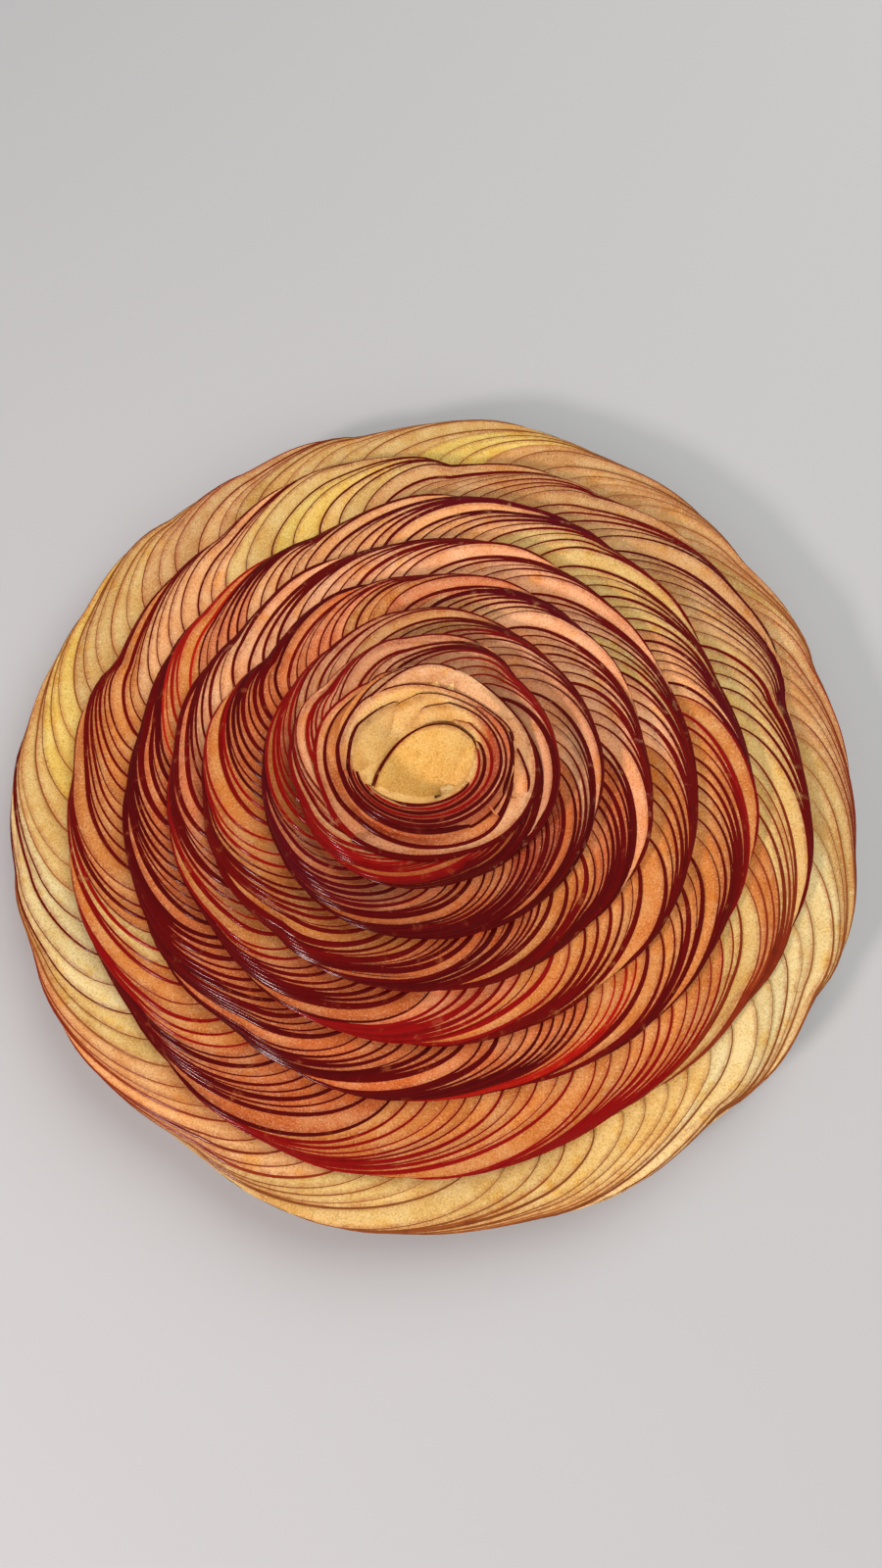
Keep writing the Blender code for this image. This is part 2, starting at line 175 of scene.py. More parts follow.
# Wraps of the heart, outermost first. line gives (angle in degrees, place across the heart): the place is 0
# at the edge of the hollow, 1 at the outline of the eighth ring and 2 at that of the seventh, and below 0 it
# runs down into the hollow. A square end is cut off and shows; other ends taper and go under a neighbour.
Wrap = namedtuple("Wrap", "name flesh skin width lift square line")
WRAPS = (
    Wrap("outer", "tan", "crimson", 1.1, 0.6, "",
         ((118, 1.46), (150, 1.43), (180, 1.43), (208, 1.36), (222, 1.24), (240, 1.02))),
    Wrap("amber", "honey", "wine", 0.95, 0.9, "",
         ((14, 1.02), (32, 1.15), (50, 1.29), (66, 1.29), (90, 1.2), (112, 1.15), (135, 1.13), (152, 1.19),
          (180, 1.22), (204, 1.16), (230, 1.01), (250, 0.86))),
    Wrap("corner", "sand", "crimson", 0.8, 0.9, "start",
         ((247, 1.11), (256, 1.08), (268, 1.01), (284, 0.93), (300, 0.86))),
    Wrap("cream", "sand", "wine", 1.25, 1.5, "end",
         ((222, 0.38), (236, 0.45), (252, 0.64), (270, 0.86), (290, 0.98), (310, 1.07), (330, 1.17),
          (346, 1.32), (362, 1.45), (380, 1.54), (402, 1.56), (425, 1.5), (452, 1.43), (475, 1.46),
          (488, 1.48))),
    Wrap("branch", "sand", "wine", 0.9, 1.2, "",
         ((206, 0.48), (218, 0.56), (236, 0.7), (256, 0.8), (272, 0.84))),
    Wrap("flat", "blush", "wine", 0.85, 1.3, "end",
         ((345, 0.86), (362, 0.96), (380, 1.05), (394, 1.13), (403, 1.19))),
    Wrap("second", "tan", "wine", 1.1, 1.3, "",
         ((150, 0.84), (165, 0.78), (180, 0.72), (192, 0.6), (206, 0.53), (218, 0.5), (236, 0.39),
          (256, 0.32), (280, 0.3), (300, 0.34), (318, 0.46), (334, 0.64), (350, 0.92), (364, 1.16),
          (376, 1.37), (388, 1.5))),
    Wrap("third", "rose", "wine", 1.15, 1.3, "",
         ((318, 0.4), (334, 0.58), (350, 0.78), (366, 0.92), (390, 1), (420, 1), (450, 0.96), (480, 0.92),
          (508, 0.86), (526, 0.72))),
    Wrap("fourth", "blush", "wine", 0.85, 1.3, "",
         ((239, -0.17), (255, -0.09), (272, -0.01), (287, 0.09), (304, 0.19), (323, 0.33), (341, 0.49),
          (358, 0.68), (374, 0.82), (394, 0.88), (424, 0.87), (452, 0.83), (480, 0.78), (506, 0.7),
          (520, 0.6))),
    Wrap("fifth", "stained", "wine", 1.1, 1.3, "",
         ((270, -0.24), (286, -0.13), (302, -0.01), (317, 0.14), (333, 0.32), (350, 0.49), (364, 0.62),
          (378, 0.71), (396, 0.74), (424, 0.72), (452, 0.68), (482, 0.61), (508, 0.5), (524, 0.3),
          (538, 0.12), (551, 0.05), (565, 0), (580, -0.04), (598, -0.055), (618, -0.06))),
    Wrap("sixth", "rose", "crimson", 1.05, 1.3, "",
         ((308, -0.2), (327, -0.05), (342, 0.1), (355, 0.26), (369, 0.4), (386, 0.52), (404, 0.57),
          (424, 0.56), (452, 0.52), (480, 0.46), (506, 0.34), (524, 0.16))),
    Wrap("seventh", "stained", "wine", 1.25, 1.3, "end",
         ((344, -0.05), (355, 0.08), (366, 0.19), (376, 0.27), (392, 0.36), (408, 0.4), (424, 0.4),
          (452, 0.36), (480, 0.3), (502, 0.18), (516, 0.05))),
    Wrap("eighth", "rose", "crimson", 0.95, 1.3, "",
         ((350, -0.07), (366, 0.05), (382, 0.16), (398, 0.23), (416, 0.23), (440, 0.2), (468, 0.15),
          (492, 0.05), (506, -0.03))),
    Wrap("ninth", "stained", "wine", 0.95, 1.3, "end",
         ((390, 0.12), (404, 0.14), (420, 0.1), (444, 0.03), (470, -0.03), (500, -0.06))),
)

# How much of the hollow's radius a place of 1 is, thickness of a wrap, degrees from row to row and of a
# tapered end (more in the hollow), how far that sinks, how far a wrap waves, its last station shown and how
# much its tones change
HOLLOW_SHARE = 0.66
WRAP_THICKNESS = 0.0013
WRAP_STEP = 1.5
WRAP_TAPER = 9
LONG_TAPER = 1.7 * WRAP_TAPER
WRAP_SINK = 0.0012
WRAP_WAVE = 0.00012
LAST_STATION = 1.7
WRAP_FLESH_SPREAD = 0.06
WRAP_SKIN_SPREAD = 0.2

# Gap from a wrap to the next line inside it: where no line follows, the widest and the least that count, and
# the rows that it is smoothed over. A square end in the hollow closes to a share of it over its last degrees.
OPEN_GAP = 0.45
WIDE_GAP = 0.8
LEAST_GAP = 0.015
SMOOTH_ROWS = 11
END_PLACE = 0.3
END_TURN = 25
END_SHARE = 0.12

# The near side of the heart: its middle in degrees, how its darkening fades round the heart and outward, the
# most of it, and where the skins are widest and by how much. That darkening is partly the flesh's own stain
# and partly painted shade.
NEAR_MIDDLE = 100
NEAR_TURN = 62
NEAR_PEAK = 1.25
STAIN_AND_SHADE_REACH = 1.85
STAIN_AND_SHADE_MOST = 0.8
WIDEST_ANGLE = 115
WIDEST_SHARE = 0.4

# Where across the heart its flesh turns into the paler flesh of the hollow
HOLLOW_EDGE = 0.05
HOLLOW_FADE = 0.35

# Slice that arches over the hollow, on the plan in millimetres: its skin line from the free tip on the left
# over to the right, and the foot of its face from left to right. Then its rows, the width of its skin, how
# far that stands up at its ends and more in its middle, the dome of its face and the height of its foot.
ARCH_LINE = ((-17.5, -12.5), (-16.1, -6.5), (-13.3, -1.0), (-9.8, 3.4), (-5.8, 6.3), (-2.0, 7.8), (2.4, 8.0),
             (6.4, 6.8), (9.8, 4.0), (12.2, 0.5), (13.4, -3.3), (13.3, -8.0), (12.0, -12.2), (9.4, -15.4))
ARCH_FOOT = ((-17.8, -13.2), (-13.6, -14.8), (-8.0, -16.4), (-2.0, -17.0), (3.0, -16.9), (6.8, -16.5),
             (9.2, -15.8))
ARCH_ROWS = 90
ARCH_SKIN = 0.0011
ARCH_LIFT = 0.0012
ARCH_RISE = 0.003
ARCH_DOME = 0.0007
ARCH_LOW = 0.0478

# Crumbs at the foot of that slice: middle and half sizes in millimetres, and colour
CRUMBS = (((4.6, -12.8, 52.3), (2.0, 2.5, 1.0), "crumb"), ((1.7, -14.6, 52.7), (0.9, 0.8, 0.5), "core"))

# Across one slice: corners of its skin (place in its width, share of its thickness), then the stations of its
# flesh and of its underside in gaps to the next slice, how much of its thickness lies between, and its least
SKIN_PROFILE = ((-0.9, 0.94), (-1.0, 0.66), (-0.84, 0.34), (-0.40, 0.11), (0.30, 0.02), (1.0, 0.0))
FLESH_STATIONS = (0.22, 0.45, 0.70, 0.92, 1.15, 1.5, 2.1)
UNDER_STATIONS = (2.1, 1.3, 0.5)
LAYER_SHARE = 0.94
THINNEST = 0.00012

# Along one slice, in shares of its usual turn and of its reach: rows, how its tip turns on, curls and dives,
# how a fan's border draws in, where it settles on the slices below and closes up to the next, and its skin
EDGE_ROWS = 38
TIP_ROWS = 4
TIP_TURN = 0.06
TIP_CURL = 0.03
TIP_DIVE = 0.05
BORDER_PULL = 0.05
SETTLE_FROM = 0.72
SETTLE_SLOPE = 0.12
CLOSE_FROM = 0.70
CLOSE_OVER = 0.30
CLOSEST = 0.12
SKIN_ALONG = ((0, 0.25, 0.6, 1.0, 1.1), (0.6, 0.9, 1.1, 0.9, 0.5))

# Bake layout: margin of a slice's cell, its shares for the skin and for what is hidden, and how the cells lie
CELL_MARGIN = 0.03
SKIN_UV = 0.20
HIDDEN_UV = 0.10
CELL_SHAPE = 7

# Pastry case: how far its side slopes in, its rounded edges, and how finely it is cut up
CASE_SLOPE = 0.0035
CASE_EDGE = 0.0016
CASE_ROWS = 30
CASE_SEGMENTS = 420

# Stage: half the floor, colour of the even light, what the lights and the camera point at
FLOOR_HALF = 1.6
SKY_TINT = (0.93, 0.96, 1.0, 1.0)
LIGHT_TARGET = (0, 0, 0.03)
CAMERA_TARGET = (0.0026, -0.0033, 0.03)

# Soft lights: name, place, size, share of the key power and tint. Only the gloss light shows in the glaze.
LIGHTS = (
    ("key", (0.55, 0.55, 1.00), 1.30, 1.0, (1.0, 0.98, 0.95)),
    ("near", (0.20, -0.95, 0.90), 1.00, 0.40, (1.0, 0.98, 0.96)),
    ("gloss", (-0.62, -0.58, 0.60), 0.17, 0.50, (1.0, 0.84, 0.84)),
)


def srgb(red, green, blue):
    """Linear colour of an 8-bit display colour."""
    values = []
    for level in (red, green, blue):
        c = level / 255
        values.append(c / 12.92 if c <= 0.04045 else ((c + 0.055) / 1.055) ** 2.4)
    return tuple(values)


def colour(name, description, *levels):
    return FloatVectorProperty(name=name, description=description, subtype="COLOR", size=3, min=0.0, max=1.0,
                               default=srgb(*levels))


def factor(name, description, default, most):
    return FloatProperty(name=name, description=description, default=default, min=0, max=most,
                         subtype="FACTOR")


def length(name, description, default, most, least=0.0):
    return FloatProperty(name=name, description=description, default=default, min=least, max=most,
                         subtype="DISTANCE", unit="LENGTH")


class TartSizes(bpy.types.PropertyGroup):
    """Sizes of the slices that the rings are laid from."""

    seed: IntProperty(name="Seed", description="Chooses one laying of the slices", default=11, min=0)
    spacing_change: factor("Spacing change", "How much the distance between slices varies", 0.16, 0.4)
    lift_change: length("Lift change", "How much single slices stand up or sink", 0.00016, 0.0005)
    reach_change: length("Reach change", "How much single slices stand out at the rim", 0.00032, 0.001)
    fan_bunching: factor("Fan bunching", "How much the slices of a fan close up towards its tip", 0.6, 0.8)
    core_depth: length("Core depth", "How far the core of a ring lies under its slices", 0.0026, 0.005, 0.001)
    crust_relief: length("Crust relief", "Depth of the crags in the baked side of the case", 0.0012, 0.002)


class TartColours(bpy.types.PropertyGroup):
    """Colours of flesh, skin and pastry."""

    cream: colour("Cream flesh", "Palest flesh", 230, 205, 143)
    gold: colour("Gold flesh", "Pale golden flesh", 225, 187, 114)
    pear: colour("Yellow flesh", "Brightest yellow flesh", 228, 192, 98)
    wheat: colour("Wheat flesh", "Duller golden flesh", 208, 167, 102)
    buff: colour("Buff flesh", "Duller tan flesh", 209, 158, 102)
    sand: colour("Sand flesh", "Pale tan flesh", 230, 180, 130)
    peach: colour("Peach flesh", "Orange-tan flesh", 230, 170, 108)
    tan: colour("Tan flesh", "Tan-pink flesh", 236, 172, 116)
    honey: colour("Honey flesh", "Amber flesh", 217, 137, 70)
    blush: colour("Blush flesh", "Whitish pink flesh", 255, 182, 132)
    rose: colour("Rose flesh", "Flesh stained pink by the skin", 232, 138, 90)
    rust: colour("Rust flesh", "Flesh stained orange by the skin", 216, 116, 62)
    stained: colour("Stained flesh", "Flesh stained dark red by the skin", 190, 84, 52)
    hollow: colour("Hollow flesh", "Flesh inside the hollow of the heart", 246, 212, 136)
    arch: colour("Arch flesh", "Face of the slice that arches over the hollow", 230, 190, 104)
    crumb: colour("Crumb", "Pale crumb in the hollow", 236, 214, 152)
    core: colour("Core spot", "Dark spot of core in the hollow", 84, 52, 18)
    brown: colour("Brown skin", "Baked pale skin", 140, 76, 32)
    chestnut: colour("Chestnut skin", "Baked red-brown skin", 126, 40, 14)
    maroon: colour("Maroon skin", "Dark red skin", 98, 4, 2)
    crimson: colour("Crimson skin", "Clear red skin", 128, 7, 5)
    scarlet: colour("Scarlet skin", "Bright orange-red skin", 160, 20, 7)
    wine: colour("Wine skin", "Nearly black red skin", 86, 2, 2)
    purple: colour("Purple skin", "Dark purple skin", 88, 3, 10)
    crust: colour("Crust", "Baked side of the pastry", 222, 172, 108)
    browned: colour("Browned crust", "Darkest crags of the pastry", 150, 90, 42)


class TartStage(bpy.types.PropertyGroup):
    """Floor, lights and camera."""

    floor: colour("Floor", "Colour of the plain floor", 190, 191, 191)
    key_power: FloatProperty(
        name="Key power", description="Power of the soft key light", default=12.0, min=0, unit="POWER")
    fill: FloatProperty(
        name="Fill", description="Strength of the even light from all round", default=0.26, min=0)
    elevation: FloatProperty(
        name="Elevation", description="Height angle of the camera", default=math.radians(72), subtype="ANGLE")
    distance: length("Distance", "Camera distance from its target", 0.367, 2.0)
    lens: FloatProperty(
        name="Lens", description="Focal length on a 36 mm sensor", default=27.05, subtype="DISTANCE_CAMERA")


Form = namedtuple("Form", "ring index inner_radius inner_x inner_y inner_oval inner_z climb flare slope low")


def lerp(a, b, t):
    return a + (b - a) * t


def edge_reach(turn):
    """How far out a skin edge is (0 at its start, 1 at the rim) after a share of its turn."""
    p, q = EDGE_ROUND
    return (1 - (1 - np.clip(turn, 0, 1)) ** p) ** (1 / q)


def edge_turn(reach):
    p, q = EDGE_ROUND
    return 1 - (1 - np.clip(reach, 0, 1) ** q) ** (1 / p)


def sheet_height(form, reach, angle):
    """Height of one slice at a reach, at an angle from where its skin edge starts."""
    return form.inner_z + form.climb * lerp(reach, reach**2, form.flare) - form.slope * angle


def edge_height(form, reach):
    return sheet_height(form, reach, math.radians(form.ring.sweep) * edge_turn(reach))


def ring_forms():
    """Works out every ring from the outside in: each one rests on the ring around it."""
    forms = []
    low = RIM_LOW
    for index, ring in enumerate(RINGS):
        if index == len(RINGS) - 1:
            inner = (BOWL_RADIUS, BOWL_X, BOWL_Y, BOWL_OVAL)
        else:
            following = RINGS[index + 1]
            inner = (following.radius - TUCK, following.x, following.y, following.oval)
        slope = ring.stack / TURN
        fall = slope * math.radians(ring.sweep)
        inner_z = ring.shoulder - ring.valley
        climb = low + CAD_THICKNESS[index] + GAP - inner_z + fall
        reach = float(edge_reach(CREST_TURN))
        wanted = (ring.valley + fall * CREST_TURN) / climb
        flare = (reach - wanted) / (reach - reach**2)
        form = Form(ring, index, *inner, inner_z, climb, flare, slope, low)
        forms.append(form)
        low = float(edge_height(form, TUCK / (ring.radius - inner[0]))) + SEAT_GAP
    return forms


def fan_place(index, angle):
    """Which fan ends next at a rim angle (radians, an array), and how far along it that is."""
    fans = FANS[index]
    tips = np.radians([fan[0] for fan in fans])
    starts = np.roll(tips, 1)
    widths = (tips - starts) % TURN
    angle = np.asarray(angle) % TURN
    number = np.searchsorted(tips, angle) % len(fans)
    along = ((angle - starts[number]) % TURN) / widths[number]
    return number, along, widths[number]


def rim_offset(index, angle):
    """How far the outline stands out at an angle: it swells along each fan and draws in at its tip."""
    number, along, _ = fan_place(index, angle)
    _, ends, bulges = np.array(FANS[index]).T * MM
    base = lerp(np.roll(ends, 1)[number], ends[number], along)
    return base + bulges[number] * BULGE_PEAK * along**2 * (1 - along)


def plan_point(form, reach, angle, inset):
    """Plan position at a reach and an angle of the ring, with the outline of its fans."""
    ring = form.ring
    radius = lerp(form.inner_radius, ring.radius - inset, reach) + rim_offset(form.index, angle) * reach**2
    oval = lerp(form.inner_oval, ring.oval, reach)
    x = lerp(form.inner_x, ring.x, reach) + radius * np.cos(angle)
    y = lerp(form.inner_y, ring.y, reach) - radius * oval * np.sin(angle)
    return x, y


def run_at(index, angle):
    """The run of like slices at an angle in degrees."""
    found = RUNS[index][-1]
    for run in RUNS[index]:
        if run[0] <= angle % 360:
            found = run
    return found


Slice = namedtuple("Slice", "start step sweep fan flesh skin width lift reach")


def settle(turn):
    """Share of its whole fall that a skin edge has come down after a share of its usual turn.

    Past the usual turn the slices of a fan lie closer and closer on each other.
    """
    over = np.clip(turn, SETTLE_FROM, 1.6) - SETTLE_FROM
    rest = 1 - SETTLE_FROM
    closing = rest * (1 - np.exp(-over * (1 - SETTLE_SLOPE) / rest))
    return np.minimum(turn, SETTLE_FROM) + closing + SETTLE_SLOPE * over


def lay_slices(form, sizes, colours):
    """The slices round one ring, each with its own start, width, tone and small differences.

    The slices of one fan all end near its tip, so the first ones are the longest.
    """
    rng = random.Random(sizes.seed + form.index)
    ring = form.ring
    base = TURN / ring.slices
    starts, runs = [], []
    angle = 0.0
    while angle < TURN - 0.4 * base:
        run = run_at(form.index, math.degrees(angle) + MID_TURN * ring.sweep)
        starts.append(angle)
        runs.append(run)
        angle += base * run[4] * (1 + rng.uniform(-1, 1) * sizes.spacing_change)
    scale = TURN / angle
    starts = [start * scale for start in starts]
    slices = []
    for k, start in enumerate(starts):
        step = (start - starts[k - 1]) % TURN
        run = runs[k]
        usual = math.radians(ring.sweep)
        fan, along, fan_width = (float(value) for value in fan_place(form.index, start + usual))
        sweep = usual + sizes.fan_bunching * fan_width * (0.6 - along) * (1 + rng.uniform(-1, 1) * 0.06)
        flesh = tuned(getattr(colours, run[1]), rng, FLESH_SPREAD)
        skin = tuned(getattr(colours, run[2]), rng, SKIN_SPREAD)
        lift = rng.uniform(-1, 1) * sizes.lift_change
        reach = rng.uniform(-1, 1) * sizes.reach_change
        width = ring.skin_width * run[3] * rng.choice(SKIN_WIDTHS)
        if slices and fan != slices[-1].fan:
            width = ring.skin_width * run[3] * FAN_SKIN
            lift = sizes.lift_change
        slices.append(Slice(start, step, sweep, fan, flesh, skin, width, lift, reach))
    return slices


def tuned(tone, rng, spread):
    """A colour a little lighter or darker, and a little warmer or cooler."""
    light = 1 + rng.uniform(-1, 1) * spread
    warm = 1 + rng.uniform(-1, 1) * spread * 0.35
    return (min(tone[0] * light, 1.0), tone[1] * light * warm, tone[2] * light * warm**2)


class Shell:
    """Gathers the corners, faces, finishes and bake layout of one piece."""

    def __init__(self):
        self.points, self.faces, self.finishes, self.uvs = [], [], [], []
        self.layers = {"flesh": [], "skin": [], "facts": []}
        self.count = 0

    def add_grid(self, grid, finish, uv, flesh, skin, facts, wrap=False):
        """Adds a grid of corners (rows, columns, 3), closed across its columns.

        finish is the material number of the face that starts at each column. facts are the distance from the
        skin, the place in the lap of two slices (it sets the painted shade under the next slice) and the
        reach across the ring.
        """
        rows, columns = grid.shape[:2]
        index = self.count + np.arange(rows * columns).reshape(rows, columns)
        self.points.append(grid.reshape(-1, 3))
        self.layers["flesh"].append(np.broadcast_to(flesh, grid.shape).reshape(-1, 3))
        self.layers["skin"].append(np.broadcast_to(skin, (rows * columns, 3)))
        self.layers["facts"].append(facts.reshape(-1, 3))
        self.count += rows * columns
        lower = index if wrap else index[:-1]
        upper = np.roll(index, -1, axis=0) if wrap else index[1:]
        quads = np.stack((lower, np.roll(lower, -1, 1), np.roll(upper, -1, 1), upper), axis=-1)
        along, across = uv
        u = along[:, None, None]
        v = across[None, :, None]
        low_u, high_u = u[:-1], u[1:]
        low_v, high_v = v[:, :-1], v[:, 1:]
        shape = (quads.shape[0], columns, 1)
        corners = [
            np.concatenate((np.broadcast_to(a, shape), np.broadcast_to(b, shape)), axis=-1)
            for a, b in ((low_u, low_v), (low_u, high_v), (high_u, high_v), (high_u, low_v))
        ]
        self.faces.append(quads.reshape(-1, 4))
        self.uvs.append(np.stack(corners, axis=2).reshape(-1, 4, 2))
        self.finishes.append(np.broadcast_to(finish, quads.shape[:2]).reshape(-1))
        if not wrap:
            self.cap(index[0], (along[0], across), False)
            self.cap(index[-1], (along[-1], across), True)

    def add_core(self, rows, facts, strip, tone):
        """Adds a closed ring from the loops round it, baked in a strip below the cells of the slices."""
        grid = np.stack(rows, axis=1)[:-1]
        uv = (np.linspace(0, 1, len(grid) + 1), np.linspace(-strip, -0.001, len(rows) + 1))
        finish = np.zeros(len(rows), int)
        self.add_grid(grid, finish, uv, tone, tone, np.broadcast_to(facts, grid.shape), wrap=True)

    def cap(self, loop, uv, outward):
        """Closes an even loop with quads from one side to the other."""
        along, across = uv
        half = len(loop) // 2 - 1
        near = np.arange(half)
        far = len(loop) - 1 - near
        order = (near, far, far - 1, near + 1) if not outward else (near, near + 1, far - 1, far)
        self.faces.append(np.stack([loop[k] for k in order], axis=-1))
        place = np.stack([np.stack((np.full(half, along), across[k]), axis=-1) for k in order], axis=1)
        self.uvs.append(place)
        self.finishes.append(np.zeros(half, int))

    def make(self, name, materials, smooth_angle=40):
        points = np.concatenate(self.points)
        faces = np.concatenate(self.faces)
        mesh = bpy.data.meshes.new(name)
        mesh.vertices.add(len(points))
        mesh.vertices.foreach_set("co", points.astype(np.float32).ravel())
        mesh.loops.add(faces.size)
        mesh.loops.foreach_set("vertex_index", faces.astype(np.int32).ravel())
        mesh.polygons.add(len(faces))
        mesh.polygons.foreach_set("loop_start", np.arange(0, faces.size, 4, dtype=np.int32))
        mesh.polygons.foreach_set("loop_total", np.full(len(faces), 4, dtype=np.int32))
        for material in materials:
            mesh.materials.append(material)
        mesh.polygons.foreach_set("material_index", np.concatenate(self.finishes).astype(np.int32))
        mesh.update(calc_edges=True)
        uv = mesh.uv_layers.new(name="OFBake")
        uv.data.foreach_set("uv", np.concatenate(self.uvs).astype(np.float32).ravel())
        for layer in ("flesh", "skin"):
            values = np.concatenate(self.layers[layer])
            values = np.concatenate((values, np.ones((len(values), 1))), axis=1)
            attribute = mesh.attributes.new(layer, "FLOAT_COLOR", "POINT")
            attribute.data.foreach_set("color", values.astype(np.float32).ravel())
        facts = mesh.attributes.new("facts", "FLOAT_VECTOR", "POINT")
        facts.data.foreach_set("vector", np.concatenate(self.layers["facts"]).astype(np.float32).ravel())
        mesh.validate()
        mesh.shade_smooth()
        mesh.set_sharp_from_angle(angle=math.radians(smooth_angle))
        obj = bpy.data.objects.new(name, mesh)
        bpy.context.scene.collection.objects.link(obj)
        return obj


def way_of(line):
    """Unit vectors of the way along lines of plan points (rows, ..., 2)."""
    way = np.gradient(line, axis=0)
    return way / (np.linalg.norm(way, axis=-1, keepdims=True) + 1e-12)


def side_of(line):
    """Unit vectors to the right of the way along lines of plan points."""
    way = way_of(line)
    return np.stack((way[..., 1], -way[..., 0]), axis=-1)


def cross_section(edge, flesh, thickness, width):
    """Corners of one slice: a rounded skin along its edge, the flesh beside it and the underside.

    edge is (rows, 3), flesh (rows, stations, 3) and both lie in the middle of the skin's width.
    """
    side = side_of(edge[:, None, :2])[:, 0]
    flesh_side = side_of(flesh[..., :2])
    half = width / 2
    columns = []
    for across, drop in SKIN_PROFILE:
        column = edge.copy()
        column[:, :2] += side * across * half
        column[:, 2] -= drop * thickness
        columns.append(column)
    for k in range(flesh.shape[1]):
        column = flesh[:, k].copy()
        column[:, :2] += flesh_side[:, k] * half
        if k >= len(FLESH_STATIONS):
            column[:, 2] -= LAYER_SHARE * thickness
        columns.append(column)
    return np.stack(columns, axis=1)


def slice_finish():
    """Material of the face that starts at each column: skin along the profile but for its cut lower border,
    flesh elsewhere."""
    columns = len(SKIN_PROFILE) + len(FLESH_STATIONS) + len(UNDER_STATIONS)
    finish = np.zeros(columns, int)
    finish[1: len(SKIN_PROFILE) - 1] = 1
    return finish


def slice_uv(cell, cells, rows=EDGE_ROWS + TIP_ROWS):
    """Bake layout of one slice: a cell of its own, with little room for its hidden underside."""
    margin = CELL_MARGIN
    along = (cell[0] + margin + (1 - 2 * margin) * np.linspace(0, 1, rows)) / cells[0]
    skin = len(SKIN_PROFILE)
    shares = [SKIN_UV * k / (skin - 1) for k in range(skin)]
    shares += [SKIN_UV + (1 - SKIN_UV - HIDDEN_UV) * s / FLESH_STATIONS[-1] for s in FLESH_STATIONS]
    shares += [1 - HIDDEN_UV * (1 - (k + 1) / (len(UNDER_STATIONS) + 1)) for k in range(len(UNDER_STATIONS))]
    shares.append(1.0)
    across = (cell[1] + margin + (1 - 2 * margin) * np.array(shares)) / cells[1]
    return along, across


def ring_slice(shell, form, piece, following, cell, cells):
    """One thin half-moon slice: its skin edge curves from under the next ring out to the tip of its fan."""
    usual = math.radians(form.ring.sweep)
    share = np.linspace(0, 1, EDGE_ROWS)
    turn = np.concatenate((share ** EDGE_ROUND[1], 1 + TIP_TURN * np.linspace(0, 1, TIP_ROWS + 1)[1:]))
    past = np.clip(turn - 1, 0, None) / TIP_TURN
    near_tip = np.clip((turn - CLOSE_FROM) / CLOSE_OVER, 0, 1) ** 2
    edge = edge_reach(turn) - TIP_DIVE * near_tip - TIP_CURL * past**2
    gap = following.step + (following.sweep - piece.sweep) * np.minimum(turn, 1)
    gap = np.maximum(gap, CLOSEST * following.step)
    stations = np.array((0.0,) + FLESH_STATIONS + UNDER_STATIONS)
    pull = BORDER_PULL if following.fan != piece.fan else 0.0
    reach = edge[:, None] - pull * near_tip[:, None] * np.minimum(stations[None, :], 1)
    angle = piece.start + piece.sweep * turn[:, None] + stations[None, :] * gap[:, None]
    x, y = plan_point(form, reach, angle, piece.width / 2 - piece.reach)
    moved = (angle - piece.start) / usual
    raised = piece.lift * np.sin(math.pi * np.clip(reach, 0, 1)) ** 0.5
    z = sheet_height(form, reach, usual * settle(moved)) + raised
    points = np.stack((x, y, z), axis=-1)
    below = settle(moved[:, 0] + piece.step / usual) - settle(moved[:, 0])
    thickness = (form.slope * usual * below).clip(THINNEST)
    width = piece.width * np.interp(turn, *SKIN_ALONG)
    grid = cross_section(points[:, 0].copy(), points[:, 1:], thickness, width[:, None])
    rows, columns = grid.shape[:2]
    facts = np.zeros((rows, columns, 3))
    first = len(SKIN_PROFILE)
    last = first + len(FLESH_STATIONS)
    edge = grid[:, first - 1]
    for k in range(first, columns):
        facts[:, k, 0] = np.linalg.norm(grid[:, k] - edge, axis=1) * np.abs(lap_sine(edge))
        facts[:, k, 1] = FLESH_STATIONS[k - first] if k < last else 1.0
    facts[:, :, 2] = reach[:, :1]
    shell.add_grid(grid, slice_finish(), slice_uv(cell, cells), piece.flesh, piece.skin, facts)


def lap_sine(edge):
    """Sine of the angle between a skin edge and the way round the ring, along the edge."""
    out = edge[:, :2] / (np.linalg.norm(edge[:, :2], axis=1, keepdims=True) + 1e-12)
    return np.clip(np.abs((way_of(edge[:, :2]) * out).sum(axis=1)), 0.05, 1)


def ring_core(shell, form, forms, sizes, tone):
    """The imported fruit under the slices: a closed ring with a smooth top and upright sides."""
    around = np.linspace(0, TURN, CORE_SEGMENTS + 1)
    level = np.ones(CORE_SEGMENTS + 1)
    rows = []
    for reach in (0.0, 0.12, 0.3, 0.5, 0.7, 0.85, 0.95):
        x, y = plan_point(form, reach * level, around, 0.0022)
        z = (float(edge_height(form, reach)) - sizes.core_depth - 0.0012 * reach**2) * level
        rows.append(np.stack((x, y, np.maximum(z, CORE_FLOOR + 0.0002)), axis=-1))
    x, y = plan_point(form, 0.99 * level, around, 0.0026)
    side = form.low if form.index == 0 else form.low + 0.0002
    rows.append(np.stack((x, y, side * level), axis=-1))
    if form.index == 0:
        foot = (0.0, 0.0, CORE_FOOT, 1.0)
        rows.append(level_ring(around, *foot, form.low))
    else:
        before = forms[form.index - 1]
        foot = (form.ring.x, form.ring.y, before.inner_radius - CORE_GAP, form.ring.oval)
        rows.append(level_ring(around, *foot, before.inner_z - CORE_GAP))
    rows.append(level_ring(around, *foot, CORE_FLOOR))
    inner = (form.inner_x, form.inner_y, form.inner_radius, form.inner_oval)
    rows.append(level_ring(around, *inner, CORE_FLOOR))
    rows.append(level_ring(around, *inner, lerp(CORE_FLOOR, rows[0][0, 2], 0.5)))
    shell.add_core(rows, (0.01, 1.0, 0.0), 0.03, tone)


def level_ring(around, x, y, radius, oval, z):
    plan = (x + radius * np.cos(around), y - radius * oval * np.sin(around))
    return np.stack((*plan, np.full(len(around), z)), axis=-1)


